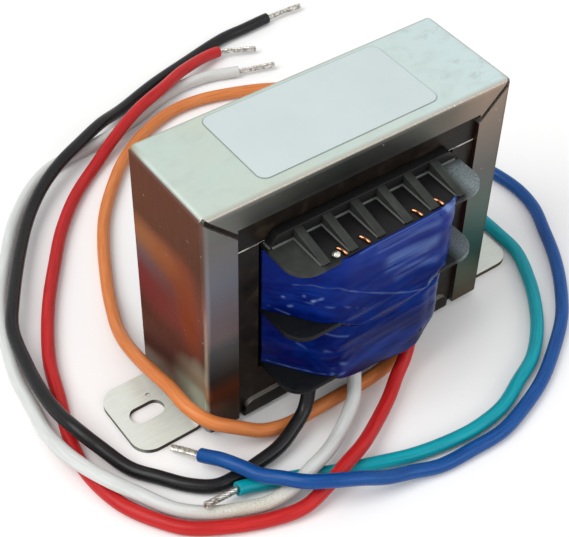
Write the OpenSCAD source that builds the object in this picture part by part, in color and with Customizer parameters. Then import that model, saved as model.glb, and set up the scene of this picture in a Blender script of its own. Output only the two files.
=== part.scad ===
/* [Core] */
// Width of the centre tongue; every other lamination size follows from it
tongue_w = 22; // [20:0.5:24]
// Height of the stack of laminations, front to back
stack_t = 22; // [18:1:26]
/* [Bracket] */
// Thickness of the bracket's sheet steel
sheet_t = 1; // [0.8:0.1:1.2]
// Reach of each upright flange over the face of the core
side_flange_w = 7; // [5:0.5:9]
// Depth of the top flange over the face of the core
top_flange_h = 5.5; // [4:0.5:6]
// Width of the open mitre between the top and side flanges
mitre_gap = 1; // [0.6:0.1:2]
// Length of each foot out from the side plate
foot_l = 13; // [11:0.5:13]
// Width of each foot
foot_w = 17.4; // [14:0.2:18]
// Radius of the feet's outer corners
foot_corner_r = 4; // [2:0.5:5]
// Width of the mounting slots
slot_w = 4; // [3:0.1:4.5]
// Overall length of the mounting slots
slot_l = 7.3; // [5:0.1:7.5]
/* [Bottom keeper] */
// Clearance between the keeper's lips and the side flanges
keeper_gap = 1.5; // [0.5:0.1:5]
// Height of the keeper's turned-up lips
keeper_lip_h = 4.3; // [3:0.1:6]
/* [Bobbin] */
// Reach of the bobbin's flanges beyond the face of the core
reach = 11; // [10:0.5:12]
// Thickness of the bobbin's flanges
bobbin_flange_t = 1; // [0.8:0.1:1.6]
// Radius of the bobbin flanges' corners
bobbin_corner_r = 4.5; // [3:0.5:6]
// Width of the slanting cut at the bottom flange's front right corner
corner_cut_w = 8.3; // [0:0.1:9]
// Height of the upstand on the top flange
upstand_h = 2.5; // [1.5:0.1:3.5]
// Thickness of each gusset rib
rib_t = 1.7; // [1:0.1:2.2]
/* [Windings and wrap] */
// Half width of the flat front of the wound coils
coil_front_x = 13.2; // [10:0.2:16]
// Radius where the tape turns from the flat front
coil_corner_r = 3; // [1:0.5:4]
// Thickness of the layers of tape
tape_t = 0.3; // [0.2:0.05:0.4]
// Diameter of the coil's copper tails
tail_d = 0.6; // [0.4:0.1:0.8]
/* [Label] */
// Width of the bare label
label_w = 39; // [30:1:44]
// Depth of the bare label
label_d = 19.3; // [14:0.1:20]
/* [Leads] */
// Outside diameter of the leads' insulation
lead_d = 2.8; // [2.4:0.1:2.8]
// Diameter of the tinned strands
strand_d = 1.3; // [1:0.1:1.6]
/* [Hidden] */
$fn = 48;
// Lamination proportions: an outer leg and a yoke are each half the tongue
core_w = 3 * tongue_w;
yoke_h = tongue_w / 2;
window_h = 1.5 * tongue_w;
core_y = stack_t / 2;
// The core stands on the keeper, which hangs just clear of the surface
keeper_t = 1;
keeper_z = 0.5;
keeper_corner_r = 2;
keeper_bend_r = 1.2;
core_z = keeper_z + keeper_t;
e_top_z = core_z + yoke_h + window_h;
core_top_z = e_top_z + yoke_h;
// Bracket
plate_x = core_w / 2;
outer_x = plate_x + sheet_t;
outer_y = core_y + sheet_t;
outer_top_z = core_top_z + sheet_t;
opening_x = outer_x - side_flange_w;
keeper_w = 2 * (opening_x - keeper_gap);
flange_low_z = core_z + 0.1;
bend_r = 1.2;
foot_bend_r = 1;
foot_end_x = outer_x + foot_l;
slot_from_plate = 6.6;
slot_x = outer_x + slot_from_plate;
mark_d = 0.9;
mark_depth = 0.25;
mark_from_slot = 2.3;
mark_at = [-(slot_x - mark_from_slot), 3.5];
// Bobbin
bobbin_gap = 0.4;
leg_fit = 0.1;
wall_t = 1;
bobbin_x = tongue_w - 0.5;
bobbin_y = core_y + reach;
low_flange_z = core_z + yoke_h + bobbin_gap;
top_flange_z = e_top_z - bobbin_gap;
mid_flange_z = low_flange_z + 0.46 * (top_flange_z - low_flange_z);
upstand_t = 2;
upstand_low_x = bobbin_x - 0.2;
upstand_high_x = bobbin_x - 2.2;
rib_n = 6;
rib_inset = 0.15;
rib_pitch = 2 * (bobbin_x - rib_inset) / (rib_n + 1);
rib_space = rib_pitch - rib_t;
rib_toe = 0.4;
rib_toe_y = bobbin_y - 0.5;
tube_x = tongue_w / 2 + leg_fit + wall_t;
tube_y = core_y + wall_t;
// The wound coils narrow from the core's windows to their flat front
coil_side_x = bobbin_x - 0.9;
coil_knee_y = core_y + 0.5;
// The cut corner follows the slant of the coil behind it
corner_cut_d = corner_cut_w * (bobbin_y - coil_knee_y) / (bobbin_x - coil_front_x);
// Tape: its flat front and back cover the bobbin flanges' edges, stand above and hang below them
tape_stand = 0.4;
tape_drop = 2.5;
// Copper tails and a bead of solder lie in the gaps between the ribs, counted from the middle gap;
// a share of the free width sets how far each lies to one side
tail_gaps = [-2, -1, 1, 2];
tail_shares = [0.3, 0, -0.1, -0.4];
bead_gap = -2;
bead_share = -0.1;
tail_l = 2.6;
tail_front_y = -(bobbin_y - 0.2);
bead_at = [bead_gap * rib_pitch + bead_share * rib_space, -(bobbin_y - 1.2)];
bead_d = 1.6;
// Label
label_t = 0.12;
label_corner_r = 1.8;
label_at = [-0.5, 0.6];
// Leads: each route starts under the bobbin, and its last stretch is the tinned end
lead_sides = 8;
ring_steps = 2;
first_z = 12.9;
kx = outer_x / 34;
ky = bobbin_y / 22;
kz = lead_d / 2.8;
black_route = [
    [-14.5, -17.5, 12.9], [-14.5, -17.5, 10.4], [-15, -18, 8], [-17, -19.5, 5], [-20.5, -21, 3.5],
    [-25, -22.5, 2.5], [-30, -23, 2], [-35, -23, 1.5], [-39.5, -22.5, 1.5], [-43.5, -19.5, 1.5],
    [-47, -15, 1.5], [-50.5, -10, 1.5], [-53, -4, 3], [-55, 1.5, 4.5], [-56, 7.5, 4.5],
    [-56, 14, 4.5], [-55, 21.5, 4], [-53, 31, 4], [-49, 38.5, 4], [-41.5, 50, 3.5],
    [-34.5, 59, 3.5], [-27.5, 65.5, 4], [-20.5, 70, 4.5], [-13.5, 73.5, 4.5], [-5.5, 77.5, 4],
    [2.5, 81.5, 2], [14, 86, 1.5], [25.5, 89, 1.5], [38, 92, 1.5], [46, 92.5, 1.5],
    [53.5, 93, 1.5], [64, 93, 1.5]
];
white_route = [
    [-4, -17.5, 12.9], [-4, -17.5, 10.3], [-4, -18, 8], [-5, -19.5, 5.5], [-7, -22, 4],
    [-10.5, -24.5, 3], [-14.5, -27, 3], [-19, -29.5, 4], [-23.5, -31, 4.5], [-28.5, -32, 3.5],
    [-33.5, -31.5, 2], [-38.5, -29.5, 1.5], [-43.5, -27, 1.5], [-48.5, -22.5, 1.5], [-52.5, -17, 3],
    [-56, -12, 4.5], [-58.5, -6.5, 5], [-59.5, -0.5, 4], [-59.5, 6, 2.5], [-58.5, 13, 1.5],
    [-57.5, 21.5, 1.5], [-55, 30.5, 1.5], [-52, 38.5, 1.5], [-49, 44.5, 1.5], [-43, 53.5, 1.5],
    [-37, 61.5, 1.5], [-29, 69, 1.5], [-21.5, 73, 1.5], [-13, 74, 1.5], [-5, 75, 1.5],
    [4, 77, 1.5], [12.5, 80, 1.5], [19.5, 81.5, 1.5], [27, 81, 1.5], [34.5, 78.5, 1.5],
    [43.5, 75.5, 1.5]
];
red_route = [
    [9.5, -18, 12.9], [9.5, -18, 10.4], [9, -19, 8], [7, -20.5, 5.5], [3.5, -22.5, 4],
    [-1, -25.5, 3], [-7, -29, 3], [-12.5, -32, 4], [-18, -34, 4.5], [-23.5, -35.5, 3.5],
    [-29, -36, 2], [-35, -34.5, 1.5], [-42, -31.5, 1.5], [-48.5, -27.5, 1.5], [-52.5, -22.5, 1.5],
    [-55.5, -17, 1.5], [-57, -11.5, 1.5], [-57.5, -6, 1.5], [-57, -1, 1.5], [-55.5, 5, 1.5],
    [-53, 12.5, 1.5], [-50.5, 20.5, 1.5], [-47, 28, 1.5], [-42, 36.5, 1.5], [-36, 45, 1.5],
    [-29.5, 53.5, 1.5], [-21.5, 61.5, 1.5], [-12.5, 68, 1.5], [-4, 72.5, 3.5], [4, 76, 5],
    [13, 79.5, 5], [22.5, 84, 4], [34.5, 87.5, 2], [43.5, 84, 1.5]
];
orange_route = [
    [12.5, -16, 12.9], [12.5, -16, 10.3], [12, -16.5, 7.5], [10.5, -17, 5], [7.5, -17.5, 2.5],
    [3.5, -18, 1.5], [-2, -18.5, 1.5], [-8, -18.5, 1.5], [-14, -18.5, 1.5], [-20, -18.5, 1.5],
    [-25.5, -18, 3], [-30.5, -16.5, 6], [-35, -14, 8.5], [-37, -9.5, 9.5], [-37, -3, 9],
    [-37, 5, 7], [-36.5, 13, 5], [-35, 20, 3], [-32.5, 27, 2], [-29.5, 34, 1.5],
    [-24.5, 44, 1.5], [-19.5, 52, 1.5], [-13, 59.5, 1.5], [-6, 66, 1.5], [3, 71.5, 1.5],
    [12, 74.5, 1.5], [20, 74.5, 1.5], [27.5, 72.5, 1.5], [36, 69, 1.5], [43.5, 64, 1.5],
    [49, 57, 1.5], [51.5, 48.5, 1.5], [50.5, 39.5, 1.5]
];
blue_route = [
    [8, 17.5, 12.9], [8, 17.5, 10.3], [8.5, 18.5, 7.5], [10, 21, 4.5], [13.5, 24.5, 2.5],
    [18.5, 28, 1.5], [25, 31, 1.5], [33, 33, 1.5], [41, 33, 1.5], [48.5, 30.5, 1.5],
    [55.5, 25, 1.5], [60.5, 17.5, 1.5], [62.5, 8, 1.5], [61.5, 0, 1.5], [58, -7.5, 1.5],
    [54, -15, 1.5], [49, -22, 1.5], [43, -28.5, 1.5], [35.5, -34, 1.5], [28, -38.5, 1.5],
    [20.5, -41.5, 1.5], [13, -43.5, 1.5], [5.5, -43.5, 1.5], [-2, -43, 1.5], [-8, -41.5, 2.5],
    [-13.5, -40.5, 4], [-18.5, -39, 6], [-23.5, -37, 7], [-27.5, -34.5, 7], [-30.5, -31, 6.5],
    [-33, -27.5, 5.5], [-34.5, -24, 5], [-36.5, -20, 4.5], [-38.5, -16, 3], [-41, -10, 1]
];
green_route = [
    [-8, 17.5, 12.9], [-8, 17.5, 10.3], [-8.5, 19, 7.5], [-9, 21.5, 4.5], [-9.5, 25.5, 2],
    [-8, 31.5, 1.5], [-4, 37, 1.5], [2, 42, 1.5], [10, 44.5, 1.5], [18, 44.5, 1.5],
    [26, 42.5, 3], [32.5, 38.5, 4.5], [38, 33, 4.5], [43, 26, 3.5], [46.5, 18.5, 2],
    [48.5, 11, 1.5], [49, 4, 1.5], [49, -2, 1.5], [48.5, -8.5, 1.5], [45.5, -15.5, 1.5],
    [41.5, -22, 1.5], [36.5, -28, 1.5], [30.5, -33, 1.5], [24, -36, 1.5], [17, -39, 1.5],
    [9.5, -40, 1.5], [2.5, -39.5, 1.5], [-5, -38, 1.5], [-12, -35.5, 1.5], [-18.5, -33, 1.5],
    [-25, -30, 1.5], [-31, -27.5, 1.5], [-37, -26, 2.5], [-44.5, -27, 4.5]
];

// Each route keeps its place round the part when the part's own size changes
function placed(path) = [
    for (i = [0:len(path) - 1])
        [
            path[i][0] * kx,
            path[i][1] * ky,
            i < 2 ? low_flange_z - (first_z - path[i][2]) : path[i][2] * kz
        ]
];
function unit(v) = v / norm(v);
// A point between p[i] and p[i + 1] on a smooth curve through all the points
function between(p, i, t) =
    let (a = p[max(i - 1, 0)], b = p[i], c = p[i + 1], d = p[min(i + 2, len(p) - 1)])
    0.5 * (2 * b + (c - a) * t + (2 * a - 5 * b + 4 * c - d) * t * t
        + (3 * b - a - 3 * c + d) * t * t * t);
// The smooth line of the insulated stretch
function smooth(p) = concat(
    [for (i = [0:len(p) - 3]) for (k = [0:ring_steps - 1]) between(p, i, k / ring_steps)],
    [p[len(p) - 2]]
);
// Directions along a line, with set directions at its two ends
function headings(line, first, last) = [
    for (i = [0:len(line) - 1])
        i == 0 ? first : i == len(line) - 1 ? last : unit(line[i + 1] - line[i - 1])
];
// Side directions carried along the line without twist
function carried(dirs, side, i = 0, done = []) =
    i == len(dirs) ? done :
    let (s = unit(side - (side * dirs[i]) * dirs[i]))
    carried(dirs, s, i + 1, concat(done, [s]));

module tube(line, dirs, d) {
    n = len(line);
    sides = carried(dirs, [1, 0, 0]);
    points = [
        for (i = [0:n - 1]) for (k = [0:lead_sides - 1])
            let (a = 360 * k / lead_sides, s = sides[i], t = cross(dirs[i], s))
            line[i] + d / 2 * (cos(a) * s + sin(a) * t)
    ];
    walls = [
        for (i = [0:n - 2]) for (k = [0:lead_sides - 1])
            let (a = i * lead_sides, b = a + lead_sides, m = (k + 1) % lead_sides)
            [a + k, b + k, b + m, a + m]
    ];
    ends = [
        [for (k = [0:lead_sides - 1]) k],
        [for (k = [lead_sides - 1:-1:0]) (n - 1) * lead_sides + k]
    ];
    polyhedron(points, concat(walls, ends), convexity = 6);
}
module lead(path) {
    p = placed(path);
    n = len(p);
    line = smooth(p);
    tube(line, headings(line, [0, 0, -1], unit(p[n - 1] - p[n - 2])), lead_d);
}
module lead_end(path) {
    p = placed(path);
    n = len(p);
    run = p[n - 1] - p[n - 2];
    translate(p[n - 2])
        rotate([0, acos(run[2] / norm(run)), atan2(run[1], run[0])])
            cylinder(d = strand_d, h = norm(run), $fn = 16);
}

// A plate centred on x and y with four round corners
module round_outline(w, d, r) {
    square([w - 2 * r, d], center = true);
    square([w, d - 2 * r], center = true);
    for (x = [-1, 1], y = [-1, 1])
        translate([x * (w / 2 - r), y * (d / 2 - r)]) circle(r = r);
}
// An upright outline from z = 0 to h with round corners at its top
module round_top(w, h, r) {
    translate([-w / 2, 0]) square([w, h - r]);
    translate([-w / 2 + r, 0]) square([w - 2 * r, h]);
    for (x = [-1, 1])
        translate([x * (w / 2 - r), h - r]) circle(r = r);
}

// Folded from one sheet: top plate, two side plates, four flanges and two feet
module channel_bracket() {
    color("slategray") {
        difference() {
            folded_outside();
            // the room for the core
            translate([-plate_x, -core_y, 0]) cube([core_w, stack_t, core_top_z]);
            // open front and back between the flanges
            translate([-opening_x, -outer_y - 1, 0])
                cube([2 * opening_x, 2 * outer_y + 2, outer_top_z - top_flange_h]);
            for (x = [-1, 1], y = [-1, 1]) mitre(x, y);
        }
        foot(1);
        difference() {
            foot(-1);
            translate([mark_at[0], mark_at[1], sheet_t - mark_depth])
                cylinder(d = mark_d, h = 1);
        }
    }
}
module folded_outside() {
    h = outer_top_z - flange_low_z;
    intersection() {
        translate([0, outer_y, flange_low_z])
            rotate([90, 0, 0]) linear_extrude(2 * outer_y) round_top(2 * outer_x, h, bend_r);
        translate([-outer_x, 0, flange_low_z])
            rotate([90, 0, 90]) linear_extrude(2 * outer_x) round_top(2 * outer_y, h, bend_r);
        translate([0, 0, flange_low_z])
            linear_extrude(h) round_outline(2 * outer_x, 2 * outer_y, bend_r);
    }
}
// The slit at 45 degrees from a top corner down to the opening, through one flange
module mitre(side, face) {
    reach_in = 2 * side_flange_w;
    translate([side * outer_x, face * (core_y + 1), outer_top_z])
        rotate([0, side * 45, 0])
            cube([mitre_gap, 2, 2 * reach_in], center = true);
}
// A foot with its bend up into the side plate, its round corners and its slot
module foot(side) {
    bend_x = outer_x + foot_bend_r;
    bend_z = sheet_t + foot_bend_r;
    mirror([side < 0 ? 1 : 0, 0, 0]) {
        // upright strip between the side plate and the bend
        translate([plate_x, -foot_w / 2, bend_z]) cube([sheet_t, foot_w, 2]);
        // quarter-round bend
        translate([bend_x, foot_w / 2, bend_z]) rotate([90, 0, 0]) linear_extrude(foot_w)
            difference() {
                intersection() {
                    circle(r = bend_z);
                    translate([-bend_z, -bend_z]) square(bend_z);
                }
                circle(r = foot_bend_r);
            }
        // flat foot
        linear_extrude(sheet_t) difference() {
            foot_outline(bend_x);
            translate([slot_x, 0]) slot_outline();
        }
    }
}
module foot_outline(x0) {
    r = foot_corner_r;
    translate([x0, -foot_w / 2]) square([foot_end_x - r - x0, foot_w]);
    translate([x0, -foot_w / 2 + r]) square([foot_end_x - x0, foot_w - 2 * r]);
    for (y = [-1, 1]) translate([foot_end_x - r, y * (foot_w / 2 - r)]) circle(r = r);
}
module slot_outline() {
    half = (slot_l - slot_w) / 2;
    square([2 * half, slot_w], center = true);
    for (x = [-half, half]) translate([x, 0]) circle(d = slot_w);
}

// A strip under the core with its two long edges turned up against the core's faces
module bottom_keeper() {
    h = keeper_t + keeper_lip_h - 1;
    color("dimgray") difference() {
        intersection() {
            translate([-keeper_w / 2, 0, keeper_z + h]) rotate([90, 0, 90])
                mirror([0, 1, 0]) linear_extrude(keeper_w) round_top(2 * outer_y, h, keeper_bend_r);
            translate([0, outer_y, keeper_z]) rotate([90, 0, 0])
                linear_extrude(2 * outer_y) round_top(keeper_w, h, keeper_corner_r);
        }
        translate([-core_w / 2, -core_y, core_z]) cube([core_w, stack_t, core_w]);
    }
}

// The stack of E-shaped stampings, legs upward
module e_laminations() {
    color("saddlebrown") difference() {
        translate([-core_w / 2, -core_y, core_z]) cube([core_w, stack_t, yoke_h + window_h]);
        for (x = [-tongue_w, tongue_w / 2])
            translate([x, -core_y - 1, core_z + yoke_h])
                cube([tongue_w / 2, stack_t + 2, window_h + 1]);
    }
}
// The stack of I-shaped stampings that closes the legs
module i_laminations() {
    color("sienna")
        translate([-core_w / 2, -core_y, e_top_z]) cube([core_w, stack_t, yoke_h]);
}

// Moulded in one piece: square tube, three flanges, an upstand each way and six ribs
module bobbin() {
    flange_zs = [low_flange_z, mid_flange_z, top_flange_z - bobbin_flange_t];
    color("darkslategray") {
        difference() {
            union() {
                translate([-tube_x, -tube_y, low_flange_z])
                    cube([2 * tube_x, 2 * tube_y, top_flange_z - low_flange_z]);
                for (z = flange_zs) translate([0, 0, z]) difference() {
                    bobbin_flange();
                    if (z == low_flange_z) corner_cut();
                }
            }
            translate([-tongue_w / 2 - leg_fit, -core_y, low_flange_z - 1])
                cube([tongue_w + 2 * leg_fit, stack_t, top_flange_z]);
        }
        for (face = [-1, 1]) upstand(face);
        for (i = [0:rib_n - 1]) translate([(i - (rib_n - 1) / 2) * rib_pitch, 0, 0]) rib();
    }
}
module bobbin_flange() {
    linear_extrude(bobbin_flange_t)
        round_outline(2 * bobbin_x, 2 * bobbin_y, bobbin_corner_r);
}
// What is cut from the bottom flange's front right corner, so that it stays behind the tape there
module corner_cut() {
    translate([bobbin_x, -bobbin_y, -1]) linear_extrude(bobbin_flange_t + 2)
        polygon([[-corner_cut_w, -1], [1, -1], [1, corner_cut_d], [0, corner_cut_d], [-corner_cut_w, 0]]);
}
// The bar against the core's face; its ends slope down to the flange
module upstand(face) {
    translate([0, face > 0 ? core_y + upstand_t : -core_y, top_flange_z - 0.1])
        rotate([90, 0, 0]) linear_extrude(upstand_t)
            polygon([
                [-upstand_low_x, 0], [upstand_low_x, 0],
                [upstand_high_x, upstand_h + 0.1], [-upstand_high_x, upstand_h + 0.1]
            ]);
}
// One gusset from the top of the upstand down to the front edge of the flange
module rib() {
    back = core_y + upstand_t - 0.1;
    translate([-rib_t / 2, 0, top_flange_z - 0.1]) rotate([90, 0, 90]) linear_extrude(rib_t)
        polygon([
            [-back, 0], [-rib_toe_y, 0], [-rib_toe_y, rib_toe + 0.1], [-back, upstand_h + 0.1]
        ]);
}

// The points that round one corner b between a and c: both ends of the arc and its centre
function corner(a, b, c, r) =
    let (u = unit(a - b), v = unit(c - b), half = acos(u * v) / 2)
    [b + u * r / tan(half), b + v * r / tan(half), b + unit(u + v) * r / sin(half)];
// The coils' eight-sided outline, grown by the tape on it
module coil_outline(grow) {
    side = coil_side_x + grow;
    knee = coil_knee_y;
    x = coil_front_x + grow;
    y = bobbin_y + grow;
    p = [
        [side, -knee], [side, knee], [x, y], [-x, y],
        [-side, knee], [-side, -knee], [-x, -y], [x, -y]
    ];
    n = len(p);
    corners = [for (i = [0:n - 1]) corner(p[(i + n - 1) % n], p[i], p[(i + 1) % n], coil_corner_r)];
    polygon([for (c = corners) each [c[0], c[1]]]);
    for (c = corners) translate(c[2]) circle(r = coil_corner_r);
}
// One wound coil in one of the bobbin's two chambers
module coil(z0, z1) {
    translate([0, 0, z0]) linear_extrude(z1 - z0) difference() {
        coil_outline(0);
        square([2 * tube_x, 2 * tube_y], center = true);
    }
}
module primary_winding() {
    color("peru") coil(low_flange_z + bobbin_flange_t, mid_flange_z);
}
module secondary_winding() {
    color("chocolate") coil(mid_flange_z + bobbin_flange_t, top_flange_z - bobbin_flange_t);
}

// Tape round both coils; the corners of the bobbin's flanges stick out through it
module tape_wrap() {
    z0 = low_flange_z + bobbin_flange_t;
    z1 = top_flange_z - bobbin_flange_t;
    color("mediumblue") {
        difference() {
            translate([0, 0, z0]) linear_extrude(z1 - z0) difference() {
                coil_outline(tape_t);
                coil_outline(0);
            }
            translate([0, 0, mid_flange_z]) bobbin_flange();
        }
        for (face = [-1, 1])
            translate([-coil_front_x, face * (bobbin_y + tape_t / 2) - tape_t / 2, low_flange_z - tape_drop])
                cube([2 * coil_front_x, tape_t, top_flange_z - low_flange_z + tape_drop + tape_stand]);
    }
}

// Copper tails lying in the gaps between the ribs
module copper_tail(i) {
    color("orangered")
        translate([
            tail_gaps[i] * rib_pitch + tail_shares[i] * (rib_space - tail_d),
            tail_front_y + tail_l,
            top_flange_z + tail_d / 2
        ])
            rotate([90, 0, 0]) cylinder(d = tail_d, h = tail_l, $fn = 16);
}
module solder_bead() {
    color("silver") intersection() {
        translate([bead_at[0], bead_at[1], top_flange_z + bead_d / 4]) sphere(d = bead_d);
        translate([bead_at[0] - bead_d, bead_at[1] - bead_d, top_flange_z]) cube(2 * bead_d);
    }
}

// The bare label stuck to the top plate
module label() {
    color("honeydew") translate([label_at[0], label_at[1], outer_top_z])
        linear_extrude(label_t) round_outline(label_w, label_d, label_corner_r);
}

module black_lead() {
    color("black") lead(black_route);
}
module black_lead_end() {
    color("gainsboro") lead_end(black_route);
}
module white_lead() {
    color("white") lead(white_route);
}
module white_lead_end() {
    color("gainsboro") lead_end(white_route);
}
module red_lead() {
    color("red") lead(red_route);
}
module red_lead_end() {
    color("gainsboro") lead_end(red_route);
}
module orange_lead() {
    color("orange") lead(orange_route);
}
module orange_lead_end() {
    color("gainsboro") lead_end(orange_route);
}
module blue_lead() {
    color("blue") lead(blue_route);
}
module blue_lead_end() {
    color("gainsboro") lead_end(blue_route);
}
module green_lead() {
    color("teal") lead(green_route);
}
module green_lead_end() {
    color("gainsboro") lead_end(green_route);
}

channel_bracket();
bottom_keeper();
e_laminations();
i_laminations();
bobbin();
primary_winding();
secondary_winding();
tape_wrap();
copper_tail(0);  // copper_tail_1
copper_tail(1);  // copper_tail_2
copper_tail(2);  // copper_tail_3
copper_tail(3);  // copper_tail_4
solder_bead();
label();
black_lead();
white_lead();
red_lead();
orange_lead();
blue_lead();
green_lead();
black_lead_end();
white_lead_end();
red_lead_end();
orange_lead_end();
blue_lead_end();
green_lead_end();
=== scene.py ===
import math

import bmesh
import bpy
import numpy as np
from mathutils import Matrix, Vector, noise


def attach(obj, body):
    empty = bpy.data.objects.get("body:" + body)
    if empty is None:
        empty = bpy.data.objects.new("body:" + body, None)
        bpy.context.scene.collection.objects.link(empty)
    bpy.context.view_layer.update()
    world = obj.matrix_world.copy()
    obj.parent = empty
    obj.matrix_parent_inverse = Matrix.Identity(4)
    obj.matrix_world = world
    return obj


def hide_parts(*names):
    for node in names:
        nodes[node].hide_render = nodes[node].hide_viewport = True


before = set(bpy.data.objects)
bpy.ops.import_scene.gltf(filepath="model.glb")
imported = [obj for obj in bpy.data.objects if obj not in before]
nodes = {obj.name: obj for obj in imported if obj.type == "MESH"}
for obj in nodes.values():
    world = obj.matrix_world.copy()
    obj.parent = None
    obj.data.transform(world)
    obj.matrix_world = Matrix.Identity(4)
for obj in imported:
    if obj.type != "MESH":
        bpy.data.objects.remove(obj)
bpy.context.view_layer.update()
MM = 0.001

# Camera. A long lens looks down on the front left of the transformer, from a little under 30 cm away,
# with the faintest roll to one side.
CAMERA_AT = Vector((-117.7, -146.5, 209.4)) * MM
CAMERA_AZIMUTH, CAMERA_DROP, CAMERA_ROLL = 36.8, 45.7, 1.53
CAMERA_LENS, CAMERA_SENSOR = 85.6, 36


def linked(name, data):
    """A new object in the scene."""
    made = bpy.data.objects.new(name, data)
    bpy.context.scene.collection.objects.link(made)
    return made


azimuth, drop, roll = (math.radians(a) for a in (CAMERA_AZIMUTH, CAMERA_DROP, CAMERA_ROLL))
ahead = Vector((math.sin(azimuth) * math.cos(drop), math.cos(azimuth) * math.cos(drop), -math.sin(drop)))
level_right = Vector((math.cos(azimuth), -math.sin(azimuth), 0))
level_up = level_right.cross(ahead)
right = level_right * math.cos(roll) + level_up * math.sin(roll)
up = level_up * math.cos(roll) - level_right * math.sin(roll)
camera = linked("camera", bpy.data.cameras.new("camera"))
camera.data.lens, camera.data.sensor_width = CAMERA_LENS, CAMERA_SENSOR
camera.data.clip_start, camera.data.clip_end = 0.01, 10
camera.matrix_world = Matrix.Translation(CAMERA_AT) @ Matrix((right, up, -ahead)).transposed().to_4x4()
bpy.context.scene.camera = camera

# Leads. Six hook-up leads of twisted tinned copper in a soft extruded jacket come down through the bobbin's
# bottom flange and lie loose on the bench. Each is cut square, with its last few millimetres stripped.
LEAD_DIAMETER = 2.8 * MM
LEAD_SIDES = 20
RING_SPACING = 0.55 * MM
# The cut end's rings: share of the radius, and millimetres past the last point of the line
CUT_END = ((0.97, 0.06), (0.86, 0.05), (0.5, -0.02), (0.45, -0.35))
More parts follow.
